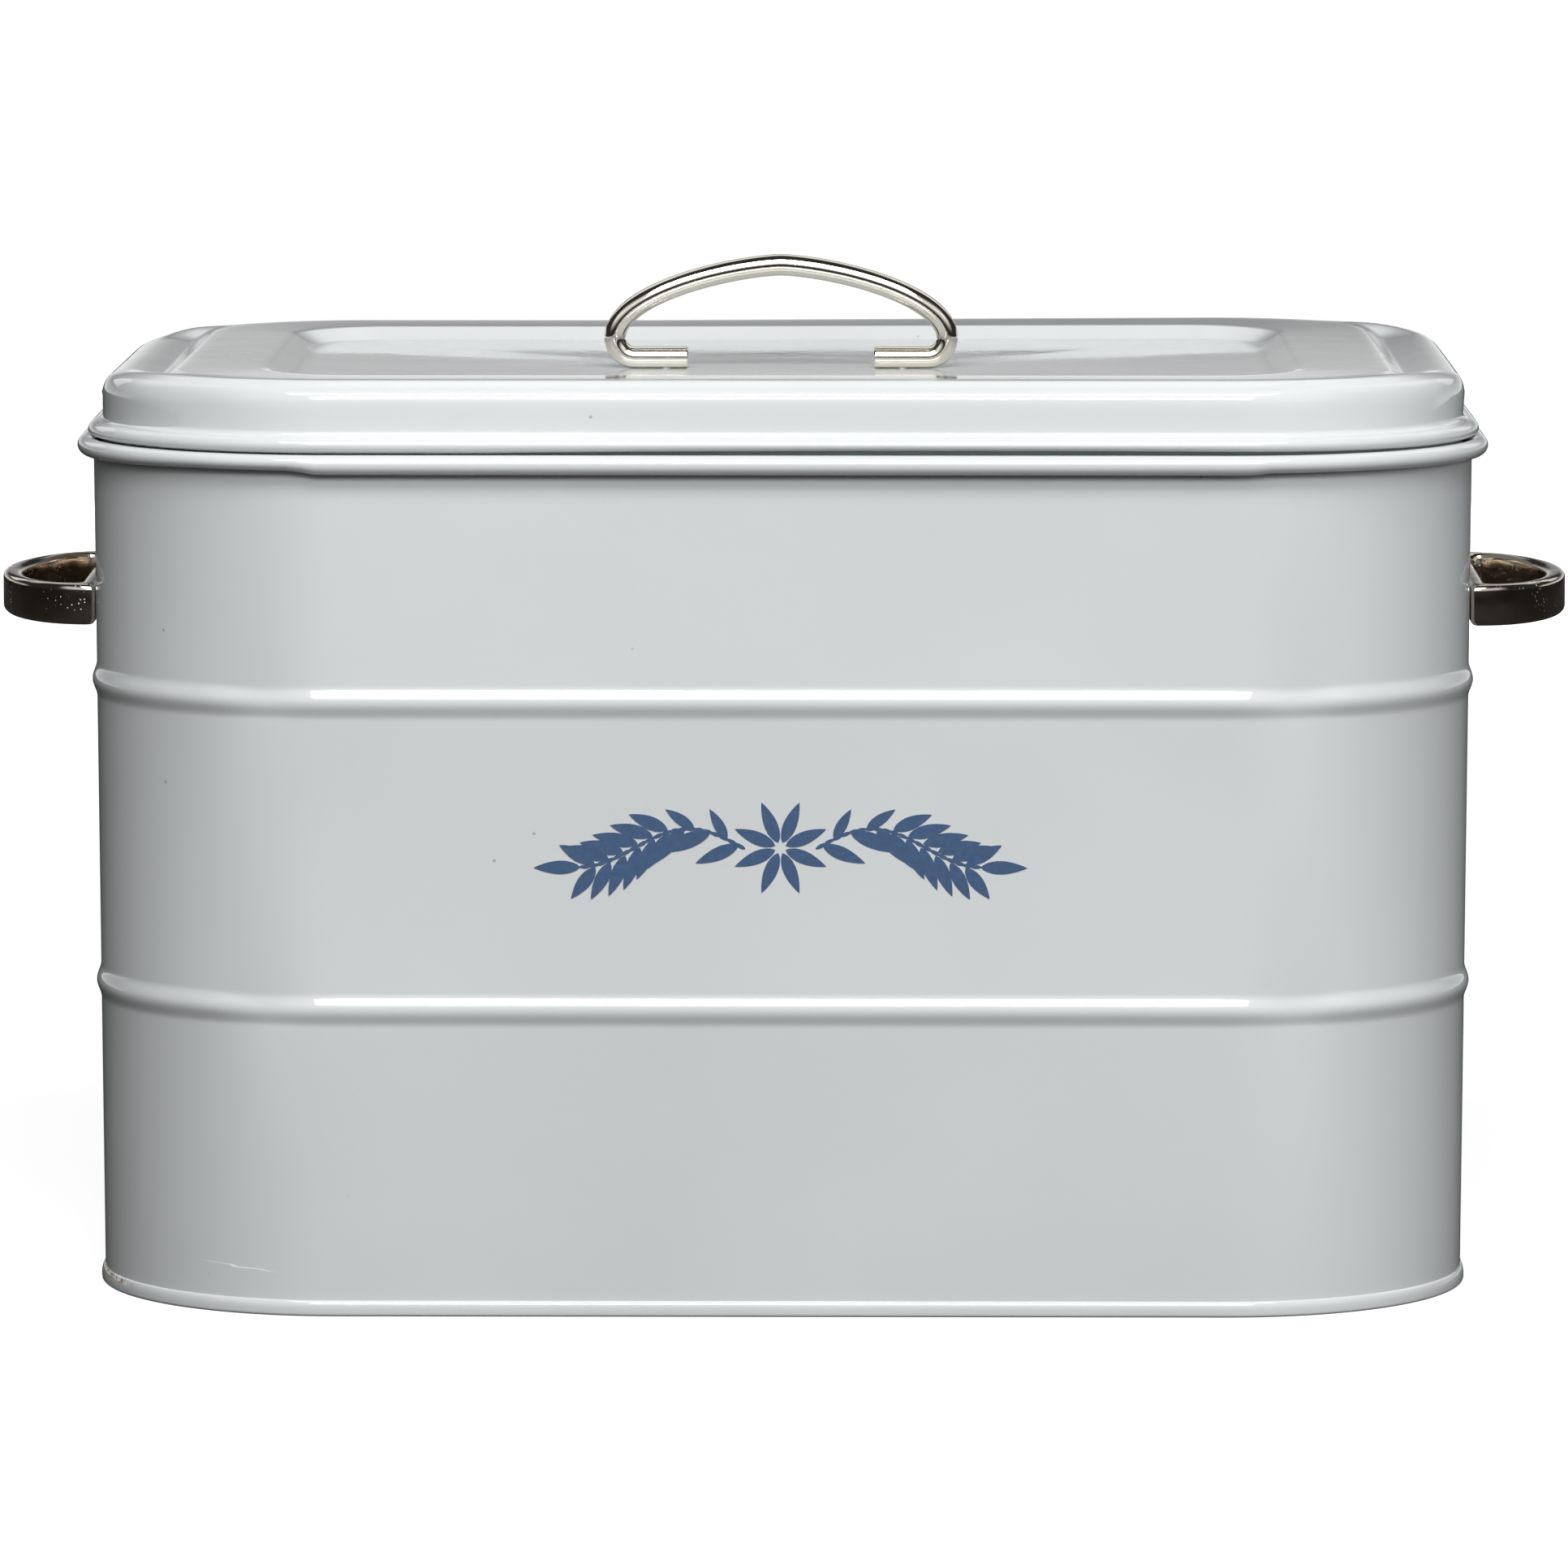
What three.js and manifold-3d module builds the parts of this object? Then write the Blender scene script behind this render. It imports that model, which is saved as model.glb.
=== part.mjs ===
// Bread bin of painted sheet steel: a seamed body with a curled rim, a pressed lid that
// lifts off, a bent rod handle on the lid and a flat bar loop on each short side.
// Millimetres. X runs along the long side, -Y is the front, +Z is up, the base stands on z = 0.

import * as THREE from 'three';
import { mergeVertices } from 'three/addons/utils/BufferGeometryUtils.js';
import Module from 'manifold-3d';

const wasm = await Module();
wasm.setup();

// Shared sizes
const sheet = 0.6; // thickness of the painted steel sheet
const seatGap = 0.3; // gap between pieces that seat on each other
const cornerSteps = 9; // straight steps in each quarter round of a plan outline

// Body wall
const bodyWidth = 332.5; // outside of the wall at its top, along X
const bodyDepth = 204; // outside of the wall at its top, along Y
const bodyCorner = 60; // corner radius of the wall's outside at its top
const rimTop = 205.9; // height of the curled rim
const wallDraft = 1.3; // how far each side leans in from the rim to the foot
const rimRadius = 2.25; // outside radius of the curled rim
const rimTurn = 300; // degrees that the sheet turns through in the rim
const beadHeight = 6.5; // height of a stiffening bead
const beadDepth = 1.1; // how far a bead stands proud
const lowerBead = 74.3; // height of the lower bead's centre
const upperBead = 147.7; // height of the upper bead's centre

// Base panel
const seamHeight = 4.2; // height of the seam that folds round the wall's foot
const panelRise = 4; // height of the panel's top face above the ground

// Lid cover
const lidRollRadius = 1.8; // outside radius of the roll along the lid's lower edge
const lidRollReach = 1.9; // how far the roll stands out past the wall
const lidRollTurn = 270; // degrees that the sheet turns through in the roll
const skirtInset = 1.35; // how far the lid's upright skirt stands in from the wall
const skirtTop = 11.9; // top of the upright skirt above the rim
const shoulderHeight = 15.2; // height of the lid's shoulder above the rim
const plateauHeight = 17.1; // height of the raised ring above the rim
const shoulderBand = 17; // width of the low band at each short side
const plateauWidth = 290; // raised ring, outside, along X
const plateauDepth = 192; // raised ring, outside, along Y
const plateauCorner = 38; // corner radius of the raised ring
const recessWidth = 250; // recessed panel at its upper edge, along X
const recessDepth = 152; // recessed panel at its upper edge, along Y
const recessCorner = 24; // corner radius of the recess at its upper edge
const recessSlopeX = 7; // run of the recess's sloping side at the ends
const recessSlopeY = 4.3; // run of the recess's sloping side at front and back
const recessDrop = 3.5; // drop from the raised ring to the panel's edge
const panelDish = 1; // further drop to the panel's flat middle
const dishWidth = 120; // flat middle of the panel, along X
const dishDepth = 60; // flat middle of the panel, along Y
const dishCorner = 20; // corner radius of the flat middle

// Locating collar inside the lid
const collarDrop = 9; // how far the collar reaches down into the mouth
const collarLeadIn = 1; // how far the collar's lower edge turns in
const collarLeadHeight = 2; // height of the turned-in edge
const collarLap = 10.5; // how far the collar reaches up the skirt above the rim

// Rod handle on the lid
const rodDiameter = 5.2;
const handleWidth = 86.2; // over the bends
const handleHeight = 28; // from the underside of the feet to the top
const handlePeak = 1.4; // 2 gives a plain ellipse, less draws the middle up to a slight peak
const handleBend = 4.9; // radius of the rod's centre line where it turns under
const footSpread = 45.6; // between the ends of the two feet
const rodSides = 10;
const rodSteps = 76;

// Flat bar loops on the short sides
const loopReach = 25.9; // from the wall to the outside of the loop
const loopSpan = 86; // length of the loop along the wall
const loopBar = 5; // thickness of the bowed bar
const loopBack = 4; // thickness of the bar that lies on the wall
const loopHeight = 10; // height of the bar
const loopCentre = 164.3; // height of the loop's middle
const loopEdge = 1; // bevel along the bar's edges
const loopInnerCorner = 3; // corner radius inside the loop
const bowSteps = 14;

// Fasteners
const sideScrew = { shank: 3.6, head: 7.6, headHeight: 2.4, grip: 3.2, spacing: 48 };
const lidScrew = { shank: 2.8, head: 6, headHeight: 2, grip: 3.2, spacing: 58 };
const slotWidth = 1;
const slotDepth = 1;
const washerThickness = 0.8;
const washerMargin = 1.2; // how far a washer stands out past its screw head
const roundSides = 16;

// Derived sizes
const halfWidth = bodyWidth / 2;
const halfDepth = bodyDepth / 2;
const lidSeat = rimTop + seatGap;
const collarInset = skirtInset + sheet + seatGap;
const panelMiddle = rimTop + plateauHeight - recessDrop - panelDish;

const paint = new THREE.MeshStandardMaterial({ color: 0xc4c6c6, roughness: 0.28, metalness: 0 });
const innerPaint = new THREE.MeshStandardMaterial({ color: 0xbdbfbf, roughness: 0.35, metalness: 0 });
const nickel = new THREE.MeshStandardMaterial({ color: 0xcfc9bd, roughness: 0.18, metalness: 1 });
const darkNickel = new THREE.MeshStandardMaterial({ color: 0x8d8780, roughness: 0.2, metalness: 1 });
const zinc = new THREE.MeshStandardMaterial({ color: 0xa9abab, roughness: 0.4, metalness: 1 });

// ---- Solids and cuts ----

function toSolid(geometry) {
  const bare = geometry.clone();
  bare.deleteAttribute('normal');
  bare.deleteAttribute('uv');
  const merged = mergeVertices(bare, 1e-4);
  const vertProperties = new Float32Array(merged.attributes.position.array);
  const triVerts = new Uint32Array(merged.index.array);
  return new wasm.Manifold(new wasm.Mesh({ numProp: 3, vertProperties, triVerts }));
}

function toGeometry(solid) {
  const { vertProperties, triVerts } = solid.getMesh();
  const geometry = new THREE.BufferGeometry();
  geometry.setAttribute('position', new THREE.BufferAttribute(vertProperties, 3));
  geometry.setIndex(new THREE.BufferAttribute(triVerts, 1));
  geometry.computeVertexNormals();
  return geometry;
}

function cut(geometry, tools) {
  let solid = toSolid(geometry);
  for (const tool of tools) {
    solid = solid.subtract(toSolid(tool));
  }
  return toGeometry(solid);
}

// A cylinder along one axis, from one place on that axis to another.
function roundTool(diameter, axis, from, to, at) {
  const tool = new THREE.CylinderGeometry(diameter / 2, diameter / 2, to - from, roundSides);
  if (axis === 'x') {
    tool.rotateZ(Math.PI / 2);
    tool.translate((from + to) / 2, at.y, at.z);
  } else {
    tool.rotateX(Math.PI / 2);
    tool.translate(at.x, at.y, (from + to) / 2);
  }
  return tool;
}

// ---- Sheet lofted from rounded rectangles ----

// A station is one level of a rounded rectangle: its half extents, corner radius and height.
function stationPoints({ halfX, halfY, radius, z }) {
  const corners = [[1, 1], [-1, 1], [-1, -1], [1, -1]];
  return corners.flatMap(([sideX, sideY], quarter) => {
    const points = [];
    for (let step = 0; step <= cornerSteps; step += 1) {
      const angle = ((quarter + step / cornerSteps) * Math.PI) / 2;
      const x = sideX * (halfX - radius) + radius * Math.cos(angle);
      const y = sideY * (halfY - radius) + radius * Math.sin(angle);
      points.push(x, y, z);
    }
    return points;
  });
}

// Joins stations listed up the outside and back down the inside. A closed list makes a band,
// and an open one is closed by its first and last level, each filled to the middle.
function loft(stations, closed) {
  const count = (cornerSteps + 1) * 4;
  const positions = stations.flatMap(stationPoints);
  const index = [];
  const last = closed ? stations.length : stations.length - 1;
  for (let level = 0; level < last; level += 1) {
    const low = level * count;
    const high = ((level + 1) % stations.length) * count;
    for (let side = 0; side < count; side += 1) {
      const next = (side + 1) % count;
      index.push(low + side, low + next, high + next);
      index.push(low + side, high + next, high + side);
    }
  }
  if (!closed) {
    const first = stations.length * count;
    const top = last * count;
    positions.push(0, 0, stations[0].z, 0, 0, stations[last].z);
    for (let side = 0; side < count; side += 1) {
      const next = (side + 1) % count;
      index.push(first, next, side);
      index.push(first + 1, top + side, top + next);
    }
  }
  const geometry = new THREE.BufferGeometry();
  geometry.setAttribute('position', new THREE.Float32BufferAttribute(positions, 3));
  geometry.setIndex(index);
  geometry.computeVertexNormals();
  return geometry;
}

// The other face of a sheet, to the left of the line of travel at every station.
function otherFace(line) {
  const flat = line.map(({ halfX, halfY, z }) => new THREE.Vector2((halfX + halfY) / 2, z));
  const leftOf = (from, to) => {
    const along = to.clone().sub(from).normalize();
    return new THREE.Vector2(-along.y, along.x);
  };
  return line.map((station, place) => {
    const before = leftOf(flat[Math.max(place - 1, 0)], flat[Math.max(place, 1)]);
    const end = flat.length - 1;
    const after = leftOf(flat[Math.min(place, end - 1)], flat[Math.min(place + 1, end)]);
    const shift = before.clone().add(after).multiplyScalar(sheet / (1 + before.dot(after)));
    return {
      halfX: station.halfX + shift.x,
      halfY: station.halfY + shift.x,
      radius: station.radius + shift.x,
      z: station.z + shift.y,
    };
  });
}

// A station that follows the body wall at a distance outside it. The wall leans in towards its
// foot and stands straight above the rim.
function besideWall(out, z) {
  const lean = wallDraft * Math.max(0, 1 - z / rimTop);
  const shift = out - lean;
  return {
    halfX: halfWidth + shift,
    halfY: halfDepth + shift,
    radius: bodyCorner + shift,
    z,
  };
}

// Points of an arc in a section, with angles in degrees from straight out and turning up.
function arc(out, z, radius, from, to, steps) {
  const points = [];
  for (let step = 0; step <= steps; step += 1) {
    const angle = THREE.MathUtils.degToRad(from + ((to - from) * step) / steps);
    points.push([out + radius * Math.cos(angle), z + radius * Math.sin(angle)]);
  }
  return points;
}

// ---- Body ----

const wallFoot = sheet + seatGap;

function bead(centre) {
  const points = [];
  const steps = 4;
  for (let step = 0; step <= steps; step += 1) {
    const along = step / steps - 0.5;
    const out = beadDepth * Math.cos(along * Math.PI) ** 2;
    points.push([out, centre + along * beadHeight]);
  }
  return points;
}

function loopScrewPlaces(side) {
  return [-1, 1].map((end) => ({
    name: `${side < 0 ? 'left' : 'right'}_${end < 0 ? 'front' : 'back'}`,
    x: side * besideWall(0, loopCentre).halfX,
    y: (end * sideScrew.spacing) / 2,
    z: loopCentre,
  }));
}

function bodyWall() {
  const curlInside = rimRadius - sheet;
  const curl = arc(curlInside, rimTop - rimRadius, curlInside, 180, 180 - rimTurn, 10);
  const outline = [[0, wallFoot], ...bead(lowerBead), ...bead(upperBead), ...curl];
  const outside = outline.map(([out, z]) => besideWall(out, z));
  const wall = loft([...outside, ...otherFace(outside).reverse()], true);
  const hole = sideScrew.shank + 2 * seatGap;
  const reach = 2 * sheet + seatGap;
  const tools = [-1, 1].flatMap(loopScrewPlaces).map(
    (place) => roundTool(hole, 'x', place.x - reach, place.x + reach, place),
  );
  return cut(wall, tools);
}

function basePanel() {
  const outer = seatGap + sheet;
  const inner = -2 * sheet - seatGap;
  const underPanel = panelRise - sheet;
  const middle = -bodyCorner / 2;
  const outline = [[middle, underPanel], [inner, underPanel], [inner, 0], [outer, 0], [outer, seamHeight]];
  const underside = outline.map(([out, z]) => besideWall(out, z));
  return loft([...underside, ...otherFace(underside).reverse()], false);
}

// ---- Lid ----

function besideSkirt(insetX, insetY, radius, height) {
  return {
    halfX: halfWidth - insetX,
    halfY: halfDepth - insetY,
    radius,
    z: rimTop + height,
  };
}

function lidCover() {
  const rollCentre = lidRollReach - lidRollRadius;
  const rollHeight = lidSeat + lidRollRadius;
  const flare = rollCentre + skirtInset;
  const roll = arc(rollCentre, rollHeight, lidRollRadius, 90 - lidRollTurn, 90, 10);
  const flareCentre = rollHeight + lidRollRadius + flare;
  const flared = arc(rollCentre, flareCentre, flare, 270, 180, 3).slice(1);
  const lower = [...roll, ...flared].map(([out, z]) => besideWall(out, z));

  const round = shoulderHeight - skirtTop;
  const skirtCorner = bodyCorner - skirtInset;
  const ringRunY = halfDepth - plateauDepth / 2;
  const shoulder = [
    besideSkirt(skirtInset, skirtInset, skirtCorner, skirtTop),
    besideSkirt(skirtInset + 0.3 * round, skirtInset + 0.2 * round, skirtCorner - 1, skirtTop + 0.6 * round),
    besideSkirt(skirtInset + round, skirtInset + 0.55 * round, skirtCorner - 3, shoulderHeight),
    besideSkirt(shoulderBand, ringRunY - 0.4 * round, plateauCorner + 4, shoulderHeight),
  ];

  const ringTop = rimTop + plateauHeight;
  const ring = (width, depth, radius, z) => ({ halfX: width / 2, halfY: depth / 2, radius, z });
  const panelWidth = recessWidth - 2 * recessSlopeX;
  const panelDepth = recessDepth - 2 * recessSlopeY;
  const upper = [
    ring(plateauWidth, plateauDepth, plateauCorner, ringTop),
    ring(recessWidth, recessDepth, recessCorner, ringTop),
    ring(panelWidth, panelDepth, recessCorner - recessSlopeY, ringTop - recessDrop),
    ring(dishWidth, dishDepth, dishCorner, panelMiddle),
  ];

  const outside = [...lower, ...shoulder, ...upper];
  const cover = loft([...otherFace(outside).reverse(), ...outside], false);
  const hole = lidScrew.shank + 2 * seatGap;
  const tools = [-1, 1].map((side) => {
    const at = { x: (side * lidScrew.spacing) / 2, y: 0 };
    return roundTool(hole, 'z', panelMiddle - 2 * sheet, panelMiddle + sheet, at);
  });
  return cut(cover, tools);
}

function lidCollar() {
  const foot = rimTop - collarDrop;
  const outline = [
    [-collarInset - collarLeadIn, foot],
    [-collarInset, foot + collarLeadHeight],
    [-collarInset, rimTop + collarLap],
  ];
  const outside = outline.map(([out, z]) => besideSkirt(-out, -out, bodyCorner + out, z - rimTop));
  return loft([...outside, ...otherFace(outside).reverse()], true);
}

// The rod's centre line from one foot end to the other, standing on the lid's panel.
function handleLine() {
  const reach = (handleWidth - rodDiameter) / 2;
  const rise = handleHeight - rodDiameter - handleBend;
  const base = panelMiddle + seatGap + rodDiameter / 2;
  const bendCentre = reach - handleBend;
  const half = [];
  const bendSteps = 8;
  const archSteps = 24;
  const footEnd = footSpread / 2;
  half.push([footEnd, 0], [(footEnd + bendCentre) / 2, 0]);
  for (let step = 0; step < bendSteps; step += 1) {
    const angle = ((step / bendSteps - 1) * Math.PI) / 2;
    half.push([bendCentre + handleBend * Math.cos(angle), handleBend * (1 + Math.sin(angle))]);
  }
  for (let step = 0; step < archSteps; step += 1) {
    const angle = ((step / archSteps) * Math.PI) / 2;
    half.push([reach * Math.cos(angle) ** (2 / handlePeak), handleBend + rise * Math.sin(angle)]);
  }
  const right = half.map(([x, z]) => new THREE.Vector3(x, 0, base + z));
  const left = half.map(([x, z]) => new THREE.Vector3(-x, 0, base + z));
  const top = new THREE.Vector3(0, 0, base + handleBend + rise);
  return new THREE.CatmullRomCurve3([...left, top, ...right.reverse()], false, 'centripetal');
}

function circleShape(radius, sides) {
  const points = [];
  for (let side = 0; side < sides; side += 1) {
    const angle = (side / sides) * 2 * Math.PI;
    points.push(new THREE.Vector2(radius * Math.cos(angle), radius * Math.sin(angle)));
  }
  return new THREE.Shape(points);
}

function lidHandle() {
  const rod = new THREE.ExtrudeGeometry(circleShape(rodDiameter / 2, rodSides), {
    steps: rodSteps,
    bevelEnabled: false,
    extrudePath: handleLine(),
  });
  const hole = lidScrew.shank + 2 * seatGap;
  const foot = panelMiddle + seatGap;
  const tools = [-1, 1].map((side) => {
    const at = { x: (side * lidScrew.spacing) / 2, y: 0 };
    return roundTool(hole, 'z', foot - seatGap, foot + lidScrew.grip + seatGap, at);
  });
  return cut(rod, tools);
}

// ---- Side loops ----

// A closed D seen from above, its flat back along Y at x = 0 and its bow towards +X.
function loopGeometry() {
  const spanY = loopSpan / 2 - loopEdge;
  const reachX = loopReach - seatGap - loopEdge;
  const shape = new THREE.Shape();
  shape.moveTo(loopEdge, -spanY);
  for (let step = 1; step < 2 * bowSteps; step += 1) {
    const angle = ((step / bowSteps - 1) * Math.PI) / 2;
    const x = loopEdge + (reachX - loopEdge) * Math.cos(angle);
    shape.lineTo(x, spanY * Math.sin(angle));
  }
  shape.lineTo(loopEdge, spanY);
  shape.closePath();

  const innerX = loopReach - seatGap - loopBar + loopEdge;
  const innerY = loopSpan / 2 - loopBar + loopEdge;
  const backX = loopBack - loopEdge;
  const hole = new THREE.Path();
  const cornerX = backX + loopInnerCorner;
  hole.moveTo(cornerX, -innerY);
  for (let step = 1; step < 2 * bowSteps; step += 1) {
    const angle = ((step / bowSteps - 1) * Math.PI) / 2;
    hole.lineTo(cornerX + (innerX - cornerX) * Math.cos(angle), innerY * Math.sin(angle));
  }
  hole.lineTo(cornerX, innerY);
  hole.absarc(cornerX, innerY - loopInnerCorner, loopInnerCorner, Math.PI / 2, Math.PI, false);
  hole.absarc(cornerX, loopInnerCorner - innerY, loopInnerCorner, Math.PI, 1.5 * Math.PI, false);
  shape.holes.push(hole);

  const loop = new THREE.ExtrudeGeometry(shape, {
    depth: loopHeight - 2 * loopEdge,
    steps: 1,
    bevelEnabled: true,
    bevelSize: loopEdge,
    bevelThickness: loopEdge,
    bevelSegments: 1,
    curveSegments: 4,
  });
  loop.translate(0, 0, loopEdge - loopHeight / 2);
  const tools = [-1, 1].map((end) => {
    const at = { y: (end * sideScrew.spacing) / 2, z: 0 };
    const bore = sideScrew.shank + 2 * seatGap;
    return roundTool(bore, 'x', -seatGap, sideScrew.grip + seatGap, at);
  });
  return cut(loop, tools);
}

// ---- Fasteners ----

// A slotted pan head screw: the head's bearing face on z = 0, the head up and the shank down.
function screwGeometry(size, length) {
  const head = size.head / 2;
  const shank = size.shank / 2;
  const profile = [
    [0, -length],
    [shank, -length],
    [shank, 0],
    [head, 0],
    [head, size.headHeight * 0.45],
    [head * 0.85, size.headHeight * 0.85],
    [head * 0.55, size.headHeight],
    [0, size.headHeight],
  ].map(([radius, height]) => new THREE.Vector2(radius, height));
  const screw = new THREE.LatheGeometry(profile, roundSides).rotateX(Math.PI / 2);
  const slot = new THREE.BoxGeometry(size.head * 1.2, slotWidth, 2 * slotDepth);
  slot.translate(0, 0, size.headHeight);
  return cut(screw, [slot]);
}

// A flat washer with its underside on z = 0.
function washerGeometry(size) {
  const inner = size.shank / 2 + seatGap;
  const outer = size.head / 2 + washerMargin;
  const profile = [[inner, 0], [outer, 0], [outer, washerThickness], [inner, washerThickness], [inner, 0]];
  const points = profile.map(([radius, height]) => new THREE.Vector2(radius, height));
  return new THREE.LatheGeometry(points, roundSides).rotateX(Math.PI / 2);
}

// ---- Assembly ----

const bin = new THREE.Group();

function addPiece(parent, name, geometry, material) {
  const mesh = new THREE.Mesh(geometry, material);
  mesh.name = name;
  parent.add(mesh);
  return mesh;
}

// A screw with its washer, pushed through sheet into a piece: a group whose z = 0 is the sheet's
// near face, with the screw head towards +Z.
function addFastener(parent, prefix, suffix, size) {
  const bearing = washerThickness + 2 * seatGap;
  const length = bearing + sheet + seatGap + size.grip;
  const washer = addPiece(parent, `${prefix}_washer_${suffix}`, washerGeometry(size), zinc);
  washer.position.z = seatGap;
  const screw = addPiece(parent, `${prefix}_screw_${suffix}`, screwGeometry(size, length), zinc);
  screw.position.z = bearing;
}

addPiece(bin, 'body_wall', bodyWall(), paint);
addPiece(bin, 'base_panel', basePanel(), innerPaint);

for (const side of [-1, 1]) {
  const name = `side_handle_${side < 0 ? 'left' : 'right'}`;
  const loop = addPiece(bin, name, loopGeometry(), darkNickel);
  const wallX = besideWall(0, loopCentre + loopHeight / 2).halfX;
  loop.position.set(side * (wallX + seatGap), 0, loopCentre);
  loop.rotation.z = side < 0 ? Math.PI : 0;
  for (const place of loopScrewPlaces(side)) {
    const fastener = new THREE.Group();
    fastener.position.set(place.x - side * sheet, place.y, place.z);
    fastener.rotation.y = (-side * Math.PI) / 2;
    addFastener(fastener, 'side_handle', place.name, sideScrew);
    bin.add(fastener);
  }
}

const lid = new THREE.Group();
bin.add(lid);
addPiece(lid, 'lid_cover', lidCover(), paint);
addPiece(lid, 'lid_collar', lidCollar(), innerPaint);
addPiece(lid, 'lid_handle', lidHandle(), nickel);
for (const side of [-1, 1]) {
  const fastener = new THREE.Group();
  fastener.position.set((side * lidScrew.spacing) / 2, 0, panelMiddle - sheet);
  fastener.rotation.x = Math.PI;
  addFastener(fastener, 'lid_handle', side < 0 ? 'left' : 'right', lidScrew);
  lid.add(fastener);
}

export default bin;
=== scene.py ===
"""Looks of a sheet steel bread bin with a lift-off lid, a rod handle and two bar loops."""
import math

import bpy
from bpy.props import FloatProperty, FloatVectorProperty, IntProperty, PointerProperty
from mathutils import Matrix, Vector


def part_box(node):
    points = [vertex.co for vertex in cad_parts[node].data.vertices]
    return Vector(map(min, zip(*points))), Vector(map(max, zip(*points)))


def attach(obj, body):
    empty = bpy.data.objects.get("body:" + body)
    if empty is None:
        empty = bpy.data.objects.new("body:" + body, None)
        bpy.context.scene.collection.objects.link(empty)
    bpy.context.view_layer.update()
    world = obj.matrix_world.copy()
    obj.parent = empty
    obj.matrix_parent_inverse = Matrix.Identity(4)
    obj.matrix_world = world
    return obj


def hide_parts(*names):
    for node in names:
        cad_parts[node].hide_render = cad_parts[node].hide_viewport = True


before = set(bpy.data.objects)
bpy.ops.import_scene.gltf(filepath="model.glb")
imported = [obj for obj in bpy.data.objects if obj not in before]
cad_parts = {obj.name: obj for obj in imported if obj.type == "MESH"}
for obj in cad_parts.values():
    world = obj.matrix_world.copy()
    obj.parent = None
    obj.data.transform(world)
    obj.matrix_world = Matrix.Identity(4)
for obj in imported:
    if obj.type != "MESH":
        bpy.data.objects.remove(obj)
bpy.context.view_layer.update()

bl_info = {
    "name": "Bread bin",
    "version": (1, 0, 0),
    "blender": (4, 5, 0),
    "location": "View3D > Sidebar > Bread bin",
    "description": "Makes the visible pieces of a sheet steel bread bin around its frame",
    "category": "Object",
}

mm = 0.001
SHARP_ANGLE = math.radians(38)
CORNER_HOLD = 5          # how squarely a corner keeps its own height between two sides
CLEARANCE = 0.3 * mm     # between pieces that are folded or screwed together
wall_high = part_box("body_wall")[1]
base_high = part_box("base_panel")[1]
cover_low, cover_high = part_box("lid_cover")
collar_low, collar_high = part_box("lid_collar")
rod_low, rod_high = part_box("lid_handle")
loop_low, loop_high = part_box("side_handle_right")


# ---- Sizes and colours that a user would change ----

def length(name, description, millimetres):
    return FloatProperty(name=name, description=description, default=millimetres * mm, min=0.0,
                         precision=5, unit="LENGTH", subtype="DISTANCE")


def colour(name, description, default):
    return FloatVectorProperty(name=name, description=description, default=default, size=3,
                               min=0.0, max=1.0, subtype="COLOR")


class BinSheetSizes(bpy.types.PropertyGroup):
    sheet: length("Sheet", "Thickness of the painted steel sheet", 0.6)
    corner: length("Corner", "Corner radius of the wall's outside at its top", 60)
    lean: length("Lean", "How far each side leans in from the rim to the foot", 1.3)
    rim_radius: length("Rim radius", "Outside radius of the curled rim", 2.25)
    rim_full: length("Rim fullness", "Extra depth of the rim along its straight sides", 0.2)
    rim_rise: length("Rim rise", "How far the rim's underside rises at the left corners", 0.75)
    bead_height: length("Bead height", "Height of a stiffening bead", 8.6)
    bead_depth: length("Bead depth", "How far a bead stands proud", 1.1)
    bead_kink: length("Bead kink", "How far a bead sinks where a long side meets a corner", 0.55)
    lower_bead: length("Lower bead", "Height of the lower bead's centre", 73.55)
    upper_bead: length("Upper bead", "Height of the upper bead's centre", 146.95)
    steps_around: IntProperty(name="Steps around", description="Points around the plan outline",
                              default=320, min=60, max=800)


class BinLidSizes(bpy.types.PropertyGroup):
    roll_radius: length("Roll radius", "Outside radius of the roll along the lid's edge", 1.8)
    roll_reach: length("Roll reach", "How far the roll stands out past the wall", 1.9)
    skirt_inset: length("Skirt inset", "How far the skirt stands in from the wall", 1.35)
    ring_width: length("Ring width", "Raised ring along the long side", 290)
    ring_depth: length("Ring depth", "Raised ring along the short side", 192)
    recess_width: length("Recess width", "Recess along the long side, at its top", 248.5)
    recess_depth: length("Recess depth", "Recess along the short side, at its top", 152)
    recess_drop: length("Recess drop", "Drop from the raised ring to the panel's edge", 3.5)
    dish: length("Dish", "Further drop to the middle of the panel", 1.2)
    ring_tilt: length("Ring tilt", "Fall of the raised ring towards the recess", 0.3)
    lift: length("Lift", "How much the lid's top rises towards the rear", 0.6)
    right_lift: length("Right lift", "How much more it rises at the rear right", 0.8)
    corner_lift: length("Corner lift", "How much more the rear corners rise", 2.2)
    pull: length("Pull", "How far the left end pulls in towards the rear", 3.5)
    foot_pull: length("Foot pull", "How far the left end's skirt pulls in at its foot", 2.1)
    dent: length("Dent", "Depth of the soft dents in the skirt near its corners", 0.3)
    gape: length("Gape", "How far the roll bows up off the rim along the long sides", 0.7)
    ring_corner: length("Ring corner", "Corner radius of the raised ring", 38)
    recess_corner: length("Recess corner", "Corner radius of the recess, at its top", 24)
    corner_steps: IntProperty(name="Corner steps", description="Steps in each rounded corner",
                              default=28, min=4, max=80)


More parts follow.
